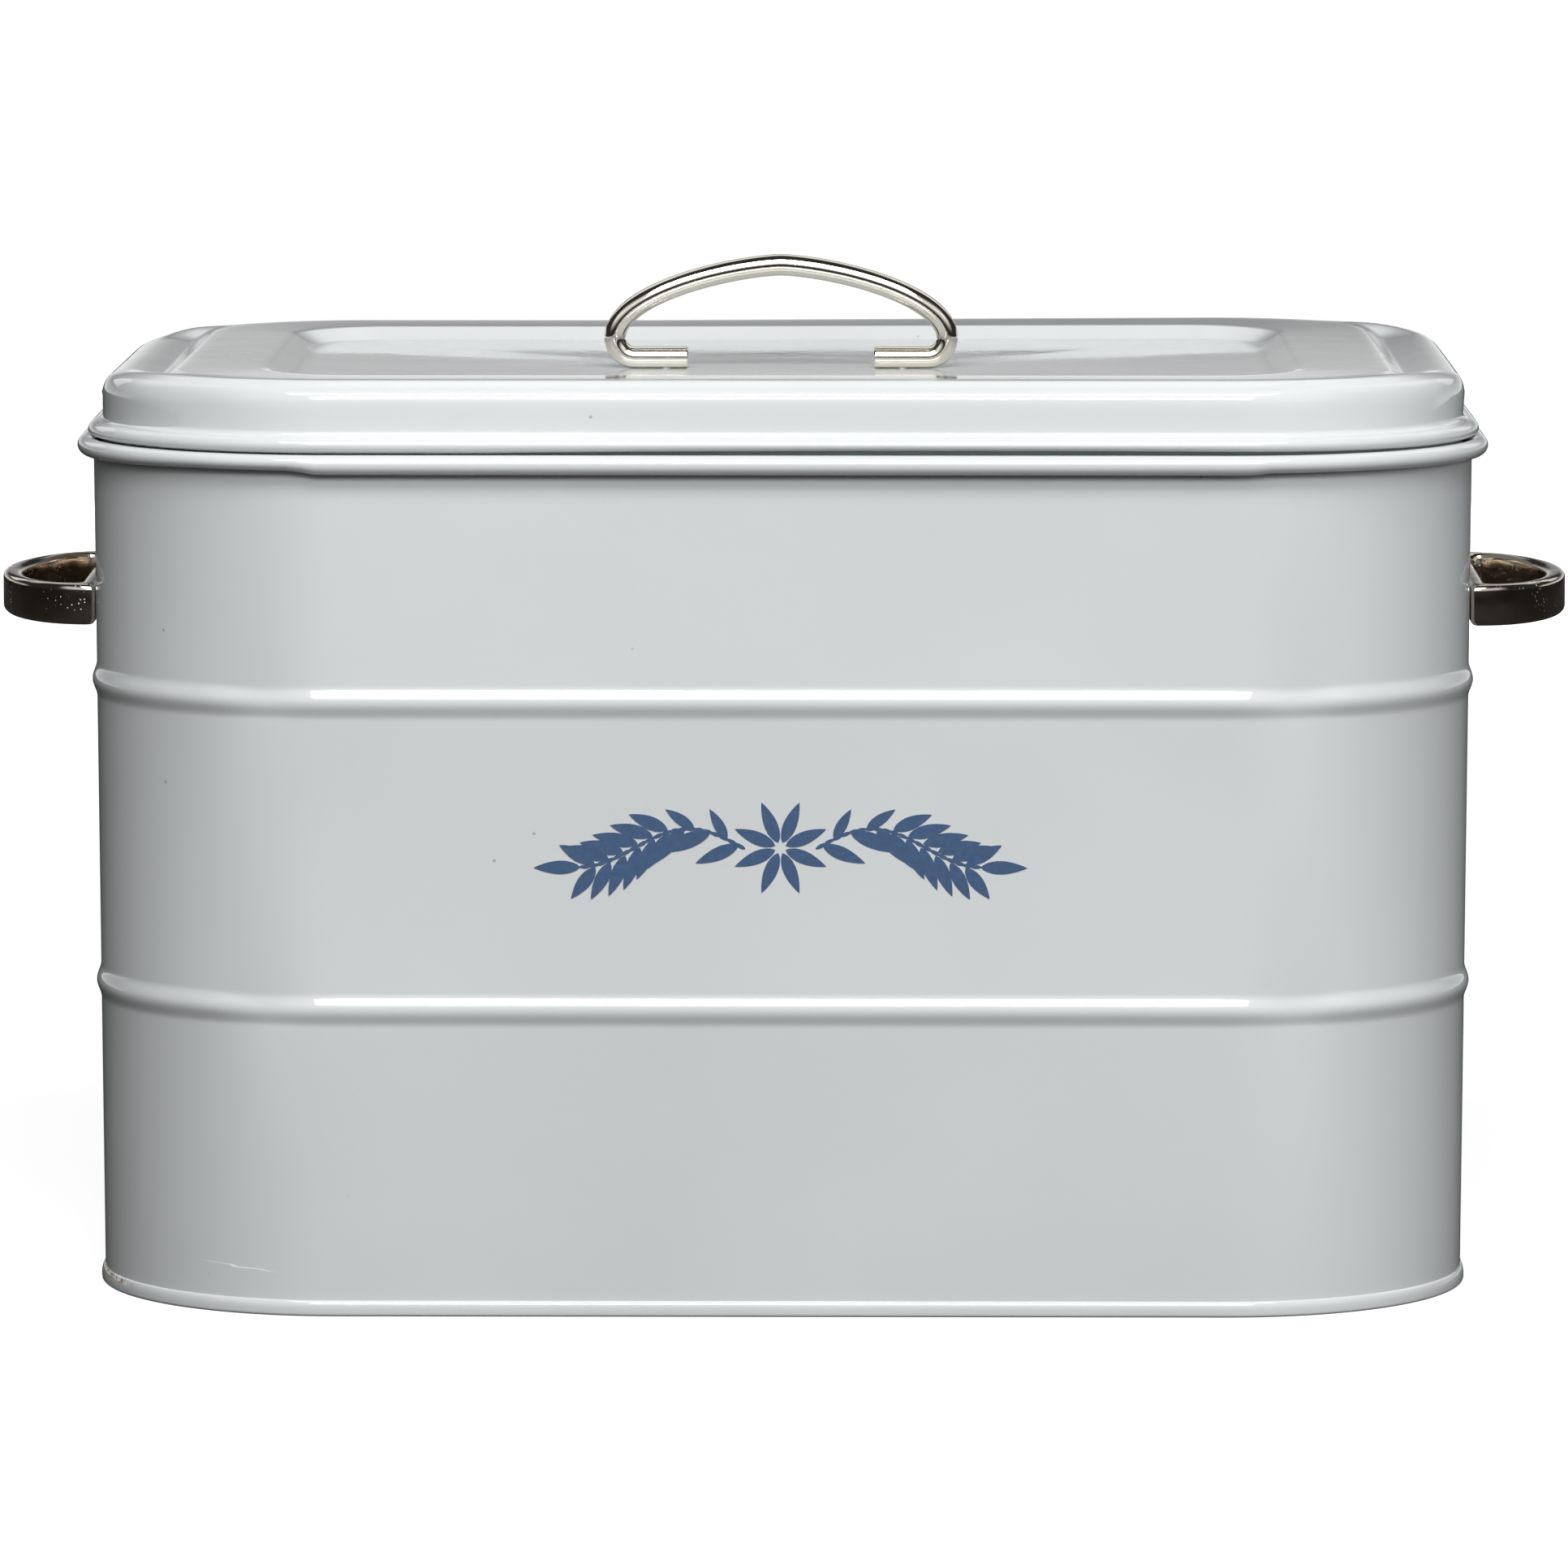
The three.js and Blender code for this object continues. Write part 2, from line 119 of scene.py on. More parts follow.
class BinHandleSizes(bpy.types.PropertyGroup):
    rod: length("Rod", "Diameter of the lid handle's rod", 5.3)
    sink: length("Sink", "How far the handle settles into the lid's panel", 0.35)
    bend: length("Bend", "Radius of the rod's centre line where it turns under", 4.9)
    foot_spread: length("Foot spread", "Distance between the ends of the two feet", 45.6)
    peak: FloatProperty(name="Peak", description="2 gives a plain ellipse, less gives a slight peak",
                        default=1.5, min=1.0, max=2.5)
    end_chamfer: length("End chamfer", "Chamfer round the ends of the rod", 0.35)
    loop_bar: length("Loop bar", "Thickness of a side loop's bowed bar", 5.0)
    loop_back: length("Loop back", "Thickness of the bar that lies on the wall", 4.0)
    loop_edge: length("Loop edge", "Width of the bevel along the bar's edges", 1.6)


class BinPrintSizes(bpy.types.PropertyGroup):
    width: length("Width", "Width of the printed ornament", 117)
    height: length("Height", "Height of its middle above the ground", 112.6)
    grain: length("Grain", "Length of one printed grain", 11.0)
    wave: length("Wave", "How far the stems wave up and down", 4.6)
    film: length("Film", "How far the print stands off the wall", 0.06)
    grains: IntProperty(name="Grains", description="Pairs of grains along one ear", default=6,
                        min=3, max=20)


class BinFinishes(bpy.types.PropertyGroup):
    enamel: colour("Enamel", "Light grey gloss enamel", (0.615, 0.64, 0.645))
    ink: colour("Ink", "Slate blue print", (0.052, 0.095, 0.183))
    bright: colour("Bright nickel", "Nickel plate of the lid handle", (0.80, 0.77, 0.70))
    # Painted shade: the side loops' nickel is drawn darker than the handle's, to stand in for the dark
    # that they reflect.
    dark: colour("Dark nickel", "Darker plate of the side loops", (0.66, 0.61, 0.55))
    patina: colour("Patina", "Brown tint that clouds the side loops", (0.50, 0.41, 0.31))
    zinc: colour("Zinc", "Plate of the screws and washers", (0.62, 0.63, 0.64))
    gloss: FloatProperty(name="Enamel roughness", description="Roughness of the enamel",
                         default=0.05, min=0.02, max=1.0, subtype="FACTOR")


# ---- Sections, stations and lofts ----

def ramp(value, start, end):
    """0 up to the start, 1 from the end on, which may be lower than the start."""
    return min(max((value - start) / (end - start), 0.0), 1.0)


def hump(value, middle, width):
    """A smooth bump that is 1 in its middle."""
    return math.exp(-((value - middle) / width) ** 2)


def arc(out, up, radius, start, end, steps):
    """Points of an arc in a section, with angles in degrees from straight out and turning up."""
    angles = [math.radians(start + (end - start) * step / steps) for step in range(steps + 1)]
    return [(out + radius * math.cos(angle), up + radius * math.sin(angle)) for angle in angles]


def unit_arc(start, end, steps):
    return arc(0.0, 0.0, 1.0, start, end, steps)


def left_normals(points):
    """For each point of a line, the mitred unit shift to the left of its line of travel."""
    flat = [Vector(point) for point in points]
    sides = []
    for here, there in zip(flat, flat[1:]):
        along = (there - here).normalized()
        sides.append(Vector((-along.y, along.x)))
    sides = [sides[0]] + sides + [sides[-1]]
    return [(a + b) / (1 + a.dot(b)) for a, b in zip(sides, sides[1:])]


def sheet_section(line, thickness):
    """A closed section: the line itself and back along the sheet's other face."""
    other = [(out + shift.x * thickness, up + shift.y * thickness)
             for (out, up), shift in zip(line, left_normals(line))]
    return list(line) + other[::-1]


def smooth_line(points, steps):
    """A Catmull-Rom line through the points, with that many steps between neighbours."""
    knots = [Vector(point) for point in points]
    knots = [2 * knots[0] - knots[1]] + knots + [2 * knots[-1] - knots[-2]]
    line = []
    for a, b, c, d in zip(knots, knots[1:], knots[2:], knots[3:]):
        for step in range(steps):
            t = step / steps
            line.append(0.5 * (2 * b + (c - a) * t + (2 * a - 5 * b + 4 * c - d) * t * t
                               + (3 * b - a - 3 * c + d) * t ** 3))
    return line + [knots[-2]]


def add_object(name, data):
    made = bpy.data.objects.new(name, data)
    bpy.context.scene.collection.objects.link(made)
    return made


def smooth_piece(name, mesh):
    mesh.polygons.foreach_set("use_smooth", [True] * len(mesh.polygons))
    return add_object(name, mesh)


def new_piece(name, vertices, faces):
    mesh = bpy.data.meshes.new(name)
    mesh.from_pydata([tuple(vertex) for vertex in vertices], [], faces)
    mesh.validate()
    return smooth_piece(name, mesh)


def ring_piece(name, rings, closed=False):
    """A piece from rings, listed so that faces point outwards, that meet end to end or get fans."""
    count = len(rings[0])
    total = count * len(rings)
    vertices = [point for ring in rings for point in ring]
    faces = []
    for low in range(0, total if closed else total - count, count):
        high = (low + count) % total
        for side in range(count):
            after = (side + 1) % count
            faces.append((low + side, low + after, high + after, high + side))
    if not closed:
        vertices += [sum(map(Vector, ring), Vector()) / count for ring in (rings[0], rings[-1])]
        top = total - count
        for side in range(count):
            after = (side + 1) % count
            faces += [(total, after, side), (total + 1, top + side, top + after)]
    return new_piece(name, vertices, faces)


def finish_piece(piece, body, slot, *nodes):
    """Gives a finished piece its slot's material and hands it to the frame."""
    piece.data.materials.clear()
    piece.data.materials.append(finish_of(slot))
    piece.data.set_sharp_from_angle(angle=SHARP_ANGLE)
    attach(piece, body)
    if nodes:
        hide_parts(*nodes)


# ---- Geometry Nodes ----

def add_socket(tree, name, kind, default=None, direction="INPUT"):
    socket = tree.interface.new_socket(name, in_out=direction, socket_type="NodeSocket" + kind)
    if default is not None:
        socket.default_value = default


def new_tree(name, sizes):
    """A tree whose inputs are a geometry, the named sizes and a material."""
    tree = bpy.data.node_groups.new(name, "GeometryNodeTree")
    add_socket(tree, "Geometry", "Geometry")
    for label, kind, default in sizes:
        add_socket(tree, label, kind, default)
    add_socket(tree, "Material", "Material")
    add_socket(tree, "Result", "Geometry", direction="OUTPUT")
    return tree, tree.nodes.new("NodeGroupInput").outputs


def add_node(tree, kind, links=(), **settings):
    """A node with its settings, and links given as (input, node or output socket or plain value)."""
    node = tree.nodes.new(kind)
    for key, value in settings.items():
        setattr(node, key, value)
    for key, value in links:
        if isinstance(value, bpy.types.Node):
            value = value.outputs[0]
        if isinstance(value, bpy.types.NodeSocket):
            tree.links.new(value, node.inputs[key])
        else:
            node.inputs[key].default_value = value
    return node


def math_node(tree, operation, first, second=0.0):
    return add_node(tree, "ShaderNodeMath", [(0, first), (1, second)], operation=operation).outputs[0]


def times(tree, first, second):
    return math_node(tree, "MULTIPLY", first, second)


def end_tree(tree, given, geometry):
    """Realizes instances and sets the material, as every tree here ends."""
    real = add_node(tree, "GeometryNodeRealizeInstances", [(0, geometry)])
    dressed = add_node(tree, "GeometryNodeSetMaterial", [(0, real), ("Material", given["Material"])])
    add_node(tree, "NodeGroupOutput", [(0, dressed)])
    return tree


def evaluated_mesh(holder):
    """What an object's modifiers make of it, as a mesh of its own."""
    graph = bpy.context.evaluated_depsgraph_get()
    return bpy.data.meshes.new_from_object(holder.evaluated_get(graph))


def run_tree(holder, tree, values):
    """Runs a tree on an object and returns its result as a plain mesh object of the same name."""
    name = holder.name
    sockets = {item.name: item.identifier for item in tree.interface.items_tree
               if item.item_type == "SOCKET" and item.in_out == "INPUT"}
    modifier = holder.modifiers.new(tree.name, "NODES")
    modifier.node_group = tree
    for label, value in values.items():
        modifier[sockets[label]] = value
    mesh = evaluated_mesh(holder)
    if not mesh.polygons:
        raise RuntimeError(f"{tree.name} made no faces for {name}")
    bpy.data.objects.remove(holder)
    mesh.name = name
    return smooth_piece(name, mesh)


def holder_object(name, points, edges=()):
    """Points, and edges where given, for a tree to work on."""
    mesh = bpy.data.meshes.new(name)
    mesh.from_pydata(points, edges, [])
    return add_object(name, mesh)


def line_object(name, points, closed=False):
    count = len(points)
    edges = [(place, (place + 1) % count) for place in range(count if closed else count - 1)]
    return holder_object(name, points, edges)


def swept_sheet_tree():
    """Sweeps a closed section round a rounded rectangle that leans in towards its foot."""
    sizes = [("Width", "Float", 0.3), ("Depth", "Float", 0.2), ("Corner Radius", "Float", 0.06),
             ("Steps Around", "Int", 240), ("Lean", "Float", 0.0), ("Lean Top", "Float", 0.2)]
    tree, given = new_tree("Swept sheet", sizes)
    plan = add_node(tree, "GeometryNodeCurvePrimitiveQuadrilateral",
                    [("Width", given["Width"]), ("Height", given["Depth"])])
    rounded = add_node(tree, "GeometryNodeFilletCurve",
                       [("Curve", plan), ("Radius", given["Corner Radius"]), (1, 48)], mode="POLY")
    even = add_node(tree, "GeometryNodeResampleCurve",
                    [("Curve", rounded), ("Count", given["Steps Around"])])
    upright = add_node(tree, "GeometryNodeSetCurveNormal", [("Curve", even)], mode="Z_UP")
    kept = add_node(tree, "GeometryNodeCaptureAttribute", [(0, upright)])
    kept.capture_items.new("VECTOR", "Outwards")
    tree.links.new(add_node(tree, "GeometryNodeInputNormal").outputs[0], kept.inputs[1])
    section = add_node(tree, "GeometryNodeMeshToCurve", [(0, given["Geometry"])])
    swept = add_node(tree, "GeometryNodeCurveToMesh", [("Curve", kept), ("Profile Curve", section)])
    place = add_node(tree, "GeometryNodeInputPosition")
    height = add_node(tree, "ShaderNodeSeparateXYZ", [(0, place)]).outputs["Z"]
    share = math_node(tree, "DIVIDE", height, given["Lean Top"])
    below = math_node(tree, "MAXIMUM", math_node(tree, "SUBTRACT", 1.0, share), 0.0)
    inwards = times(tree, times(tree, below, given["Lean"]), -1.0)
    shift = add_node(tree, "ShaderNodeVectorMath",
                     [(0, kept.outputs[1]), ("Scale", inwards)], operation="SCALE")
    leaned = add_node(tree, "GeometryNodeSetPosition", [("Geometry", swept), ("Offset", shift)])
    return end_tree(tree, given, leaned)


def swept_sheet(name, section, lean_top):
    """A band of sheet from a closed section of (out, up) points listed up the outside."""
    sheet = bpy.context.scene.bin_sheet
    holder = line_object(name, [(out, -up, 0.0) for out, up in reversed(section)], True)
    rim_reach = 2 * sheet.rim_radius - sheet.sheet
    values = {
        "Width": 2 * (wall_high.x - rim_reach),
        "Depth": 2 * (wall_high.y - rim_reach),
        "Corner Radius": sheet.corner,
        "Steps Around": sheet.steps_around,
        "Lean": sheet.lean,
        "Lean Top": lean_top,
        "Material": finish_of("grey_enamel"),
    }
    return run_tree(holder, bpy.data.node_groups.get("Swept sheet") or swept_sheet_tree(), values)


# ---- Materials ----

def new_material(name):
    """A material, its tree, its shader and the place that its patterns read."""
    material = bpy.data.materials.new(name)
    material.use_nodes = True
    tree = material.node_tree
    place = add_node(tree, "ShaderNodeTexCoord").outputs["Object"]
    return material, tree, tree.nodes["Principled BSDF"], place


def dress(tree, shader, **sockets):
    """Links or sets the shader's inputs, given by their names with _ for a space."""
    for name, value in sockets.items():
        socket = shader.inputs[name.replace("_", " ")]
        if isinstance(value, bpy.types.NodeSocket):
            tree.links.new(value, socket)
        else:
            socket.default_value = value


def noise(tree, place, scale, detail=2.0):
    links = [("Vector", place), ("Scale", scale), ("Detail", detail)]
    return add_node(tree, "ShaderNodeTexNoise", links).outputs["Fac"]


def cells(tree, place, scale):
    return add_node(tree, "ShaderNodeTexVoronoi", [("Vector", place), ("Scale", scale)]).outputs


def remap(tree, value, low, high, to_low=0.0, to_high=1.0):
    ends = ("Value", value), ("From Min", low), ("From Max", high), ("To Min", to_low), ("To Max", to_high)
    return add_node(tree, "ShaderNodeMapRange", ends).outputs[0]


def fade(tree, value, low, high):
    return remap(tree, value, low, high, 1.0, 0.0)


def band(tree, value, rise, fall):
    """1 between two limits, each given as the two ends of its soft edge."""
    return times(tree, remap(tree, value, *rise), fade(tree, value, *fall))


def around(tree, place, spot, full, none):
    """1 within the first distance from a spot and 0 beyond the second."""
    away = add_node(tree, "ShaderNodeVectorMath", [(0, place), (1, spot)], operation="DISTANCE")
    return fade(tree, away.outputs["Value"], full, none)


def mix_colour(tree, share, first, second):
    first, second = ((*tint, 1.0) if isinstance(tint, tuple) else tint for tint in (first, second))
    links = [(0, share), (6, first), (7, second)]
    return add_node(tree, "ShaderNodeMix", links, data_type="RGBA").outputs[2]


def scaled(tint, share):
    return tuple(part * share for part in tint)


def bump(tree, height, strength, distance, before=None):
    links = [("Height", height), ("Strength", strength), ("Distance", distance)]
    if before is not None:
        links.append(("Normal", before))
    return add_node(tree, "ShaderNodeBump", links).outputs[0]


SCRATCH_PLACE = (-0.130, -0.096, 0.0105)   # at the left end of the front, just above the foot
CHIPPED_PLACE = (-0.162, -0.063, 0.0034)   # on the foot seam's front left corner
SCRATCH_TINT = (0.95, 0.96, 0.96)
RUST_TINT = (0.30, 0.14, 0.06)


def enamel_material():
    """Light grey gloss enamel: orange peel, faint clouds, specks, one scratch and a few rusty chips."""
    finish = bpy.context.scene.bin_finish
    material, tree, shader, place = new_material("grey gloss enamel")
    base = tuple(finish.enamel)
    cloud = remap(tree, noise(tree, place, 9.0, 3.0), 0.35, 0.65)
    tint = mix_colour(tree, cloud, scaled(base, 0.955), base)
    up = add_node(tree, "ShaderNodeSeparateXYZ", [(0, place)]).outputs["Z"]

    level = add_node(tree, "ShaderNodeVectorMath", [(0, place), (1, (0.35, 0.35, 3.0))],
                     operation="MULTIPLY")
    stray = math_node(tree, "SUBTRACT", noise(tree, level.outputs[0], 90.0), 0.5)
    line = fade(tree, math_node(tree, "ABSOLUTE", stray), 0.004, 0.014)
    scratch = times(tree, around(tree, place, SCRATCH_PLACE, 0.007, 0.011), line)
    scratch = times(tree, scratch, band(tree, up, (0.0085, 0.0095), (0.0118, 0.0130)))
    tint = mix_colour(tree, scratch, tint, SCRATCH_TINT)

    spots = cells(tree, place, 90.0)
    chosen = add_node(tree, "ShaderNodeSeparateColor", [(0, spots["Color"])]).outputs[0]
    chosen = remap(tree, chosen, 0.70, 0.72, 0.0, 0.6)
    specks = times(tree, fade(tree, spots["Distance"], 0.025, 0.045), chosen)
    tint = mix_colour(tree, specks, tint, scaled(base, 0.35))

    flakes = remap(tree, noise(tree, place, 700.0), 0.52, 0.58)
    chips = times(tree, around(tree, place, CHIPPED_PLACE, 0.006, 0.014), flakes)
    chips = times(tree, chips, band(tree, up, (0.0022, 0.0027), (0.0034, 0.0040)))

    peel = bump(tree, noise(tree, place, 330.0, 1.5), 0.035, 0.0006)
    gloss = finish.gloss
    dress(tree, shader, Base_Color=mix_colour(tree, chips, tint, RUST_TINT),
          Roughness=remap(tree, noise(tree, place, 40.0), 0.3, 0.7, gloss - 0.02, gloss + 0.03),
          Normal=bump(tree, noise(tree, place, 45.0, 1.0), 0.04, 0.0012, peel),
          Specular_IOR_Level=0.5, IOR=1.5)
    return material


def nickel_material(name, base, cloudy, roughness, pits_and_glints):
    """Polished nickel plate with a cloudy tint, faint ripples and clusters of pits, whose near-white
    colour is a painted glint.
    """
    material, tree, shader, place = new_material(name)
    haze = remap(tree, noise(tree, place, 45.0, 4.0), 0.38, 0.68)
    tint = mix_colour(tree, haze, base, cloudy)
    cluster = remap(tree, noise(tree, place, 110.0), 0.52, 0.62, 0.0, pits_and_glints)
    glinting_pits = times(tree, fade(tree, cells(tree, place, 900.0)["Distance"], 0.10, 0.22), cluster)
    rough = remap(tree, noise(tree, place, 220.0, 3.0), 0.3, 0.7, roughness * 0.75, roughness * 1.5)
    ripple = bump(tree, noise(tree, place, 170.0, 1.5), 0.10, 0.0003)
    # Painted glint: the pits are real dents, but their near-white colour stands in for light catching
    # them.
    dress(tree, shader, Base_Color=mix_colour(tree, glinting_pits, tint, (0.95, 0.92, 0.88)),
          Roughness=math_node(tree, "ADD", rough, times(tree, glinting_pits, 0.9)),
          Normal=bump(tree, glinting_pits, -0.6, 0.0002, ripple), Metallic=1.0)
    return material


def bright_nickel_material():
    """Bright nickel plate of the lid's handle."""
    base = tuple(bpy.context.scene.bin_finish.bright)
    return nickel_material("bright nickel plate", base, (0.74, 0.69, 0.60), 0.06, 0.15)


def shaded_nickel_material():
    """Nickel plate of the side loops, drawn darker than the handle's as painted shade, with a brown patina
    and many pits whose near-white colour is a painted glint.
    """
    finish = bpy.context.scene.bin_finish
    return nickel_material("dark nickel plate", tuple(finish.dark), tuple(finish.patina), 0.10, 1.0)


def zinc_material():
    """Bright zinc plate with a soft crystalline mottle."""
    material, tree, shader, place = new_material("bright zinc plate")
    grey = add_node(tree, "ShaderNodeRGBToBW", [(0, cells(tree, place, 900.0)["Color"])]).outputs[0]
    base = tuple(bpy.context.scene.bin_finish.zinc)
    dress(tree, shader, Base_Color=mix_colour(tree, grey, base, scaled(base, 0.86)),
          Roughness=remap(tree, grey, 0.0, 1.0, 0.28, 0.42), Metallic=1.0)
    return material


def ink_material():
    """Slate blue printed enamel, slightly matter than the paint around it."""
    material, tree, shader, place = new_material("slate blue print")
    mottle = noise(tree, place, 700.0, 3.0)
    base = tuple(bpy.context.scene.bin_finish.ink)
    share = remap(tree, mottle, 0.35, 0.65)
    dress(tree, shader, Base_Color=mix_colour(tree, share, base, scaled(base, 1.12)),
          Roughness=remap(tree, mottle, 0.3, 0.7, 0.3, 0.4), Normal=bump(tree, mottle, 0.08, 0.0002))
    return material


FINISHES = {
    "grey_enamel": ("grey gloss enamel", enamel_material),
    "bright_nickel": ("bright nickel plate", bright_nickel_material),
    "dark_nickel": ("dark nickel plate", shaded_nickel_material),
    "zinc_steel": ("bright zinc plate", zinc_material),
    "blue_print": ("slate blue print", ink_material),
}


def finish_of(slot):
    """A slot's finish, made the first time that a piece asks for it."""
    name, make = FINISHES[slot]
    return bpy.data.materials.get(name) or make()


# ---- Pieces ----

def bead_points(centre, height, depth, steps):
    """A swaged bead: a half round with soft blends above and below."""
    shares = [step / steps - 0.5 for step in range(steps + 1)]
    return [(depth * math.cos(share * math.pi) ** 2, centre + share * height) for share in shares]


RIM_BLEND = 4 * mm, 1 * mm        # past the straight side, where the rim's rise turns into fullness
RIM_FADE = -6 * mm, -31 * mm      # from the short side inwards, where the rise grows to the whole
RIGHT_RISE = 0.35                 # share of the rise that the right corners have
KINK_PAST = 12 * mm               # past the straight side, where the beads sink most
KINK_WIDTH = 9 * mm
KINK_HALF = 0.7                   # reach of a kink up and down, in heights of the bead
KINK_DROP = 0.6                   # how far it goes down for each step in


def wall_warp(sheet, place):
    """How far the wall strays from a true sweep: its rim near the corners, and its beads beside them."""
    straight = wall_high.x - sheet.corner
    aside = abs(place.x)
    rise = sunk = 0.0
    low = (wall_high.z - place.z) / (2 * sheet.rim_radius)
    if 0.0 < low < 1.05:
        side = ramp(aside, *[straight + past for past in RIM_BLEND])
        side *= side * (3 - 2 * side)
        whole = sheet.rim_rise * ramp(aside, *[wall_high.x + past for past in RIM_FADE])
        whole *= 1.0 if place.x < 0 else RIGHT_RISE
        rise = low * (whole * (1 - side) - sheet.rim_full * side)
    for bead in (sheet.lower_bead, sheet.upper_bead):
        apart = (place.z - bead) / (KINK_HALF * sheet.bead_height)
        if abs(apart) < 1:
            near = hump(aside, straight + KINK_PAST, KINK_WIDTH)
            sunk = sheet.bead_kink * near * math.cos(apart * math.pi / 2) ** 2
    return Vector((0.0, -math.copysign(sunk, place.y), rise - KINK_DROP * sunk))


class BREADBIN_OT_body_wall(bpy.types.Operator):
    """Body wall with its beads and its curled rim"""
    bl_idname = "breadbin.body_wall"
    bl_label = "Body wall"

    def execute(self, context):
        sheet = context.scene.bin_sheet
        curl = sheet.rim_radius - sheet.sheet
        line = [(0.0, sheet.sheet + CLEARANCE), (0.0, 0.35 * sheet.lower_bead)]
        for bead in (sheet.lower_bead, sheet.upper_bead):
            line += bead_points(bead, sheet.bead_height, sheet.bead_depth, 18)
        line += arc(curl, wall_high.z - sheet.rim_radius, curl, 180, -120, 36)
        piece = swept_sheet("bin_wall", sheet_section(line, sheet.sheet), wall_high.z)
        for vertex in piece.data.vertices:
            vertex.co += wall_warp(sheet, vertex.co)
        finish_piece(piece, "bin", "grey_enamel", "body_wall")
        return {"FINISHED"}


# A station is (half width, half depth, corner radius, height at the ends, height at the long sides,
# height in the middle of the corners).

def ring_points(station, corner_steps, side_steps):
    """One level of a rounded rectangle, with a height of its own at the ends, sides and corners."""
    half_x, half_y, radius, end_up, side_up, corner_up = station
    corners = []
    for quarter, (way_x, way_y) in enumerate(((1, 1), (-1, 1), (-1, -1), (1, -1))):
        points = []
        for across, along in unit_arc(90 * quarter, 90 * quarter + 90, corner_steps):
            turned = across ** 2 - along ** 2
            level = end_up if turned > 0 else side_up
            points.append(Vector((way_x * (half_x - radius) + radius * across,
                                  way_y * (half_y - radius) + radius * along,
                                  corner_up + (level - corner_up) * abs(turned) ** CORNER_HOLD)))
        corners.append(points)
    ring = []
    for points, after in zip(corners, corners[1:] + corners[:1]):
        ring += points
        ring += [points[-1].lerp(after[0], step / side_steps) for step in range(1, side_steps)]
    return ring


def other_face(stations, thickness):
    """The stations of a sheet's other face, to the left of the line of travel."""
    ends = left_normals([(station[0], station[3]) for station in stations])
    sides = left_normals([(station[1], station[4]) for station in stations])
    other = []
    for (half_x, half_y, radius, end_up, side_up, corner_up), end, side in zip(stations, ends, sides):
        mean = (end + side) / 2
        other.append((half_x + end.x * thickness, half_y + side.x * thickness,
                      max(0.2 * mm, radius + mean.x * thickness), end_up + end.y * thickness,
                      side_up + side.y * thickness, corner_up + mean.y * thickness))
    return other


def pressing(name, lower, upper, corner_steps=24, side_steps=18):
    """A closed pan from its lower face's stations, middle to edge, and its upper face's back again."""
    return ring_piece(name, [ring_points(station, corner_steps, side_steps) for station in lower + upper])


def panel_to_middle(edge, middle_up, steps):
    """Stations from a small middle outwards to an edge station, in a shallow dish."""
    stations = []
    for share in [step / steps for step in range(1, steps)]:
        up = middle_up + (edge[3] - middle_up) * share ** 3
        stations.append((*[size * share for size in edge[:3]], up, up, up))
    return stations


def rounded_stations(rows, steps):
    """Stations from rows whose last number says how far to round them, as a share of each neighbour."""
    knots = [(Vector(row[:-1]), row[-1]) for row in rows]
    line = [tuple(knots[0][0])]
    for (before, _), (here, share), (after, _) in zip(knots, knots[1:], knots[2:]):
        start, end = here.lerp(before, share), here.lerp(after, share)
        for step in range(steps + 1):
            t = step / steps
            line.append(tuple(start * (1 - t) ** 2 + here * 2 * t * (1 - t) + end * t * t))
    return line + [tuple(knots[-1][0])]


def beside_wall(sheet, out, up, lean=0.0):
    """A station a given distance out from the wall's outside, at one height all round."""
    rim_reach = 2 * sheet.rim_radius - sheet.sheet - out + lean
    return (wall_high.x - rim_reach, wall_high.y - rim_reach, sheet.corner + out - lean, up, up, up)


class BREADBIN_OT_base(bpy.types.Operator):
    """Base panel with the seam folded round the wall's foot"""
    bl_idname = "breadbin.base"
    bl_label = "Base panel"

    def execute(self, context):
        sheet = context.scene.bin_sheet
        outer = sheet.sheet + CLEARANCE
        inner = -sheet.sheet - outer
        turn = 0.75 * mm       # outside radius of the folds
        under = 3.4 * mm       # height of the panel's underside
        seam = 1.6 * mm        # where the fold starts to lean in over the wall's foot
        line = arc(inner - turn, under - turn, turn, 90, 0, 5)
        line += arc(inner + turn, turn, turn, 180, 270, 6)
        line += arc(outer - turn, turn, turn, 270, 360, 6)
        line += [(outer * out, seam + (base_high.z - 2 * mm) * up) for out, up in unit_arc(0, 90, 8)]
        lower = [beside_wall(sheet, out, up, sheet.lean) for out, up in line]
        lower = panel_to_middle(lower[0], under, 10) + lower
        piece = pressing("bin_base", lower, other_face(lower, sheet.sheet)[::-1])
        finish_piece(piece, "bin", "grey_enamel", "base_panel")
        return {"FINISHED"}


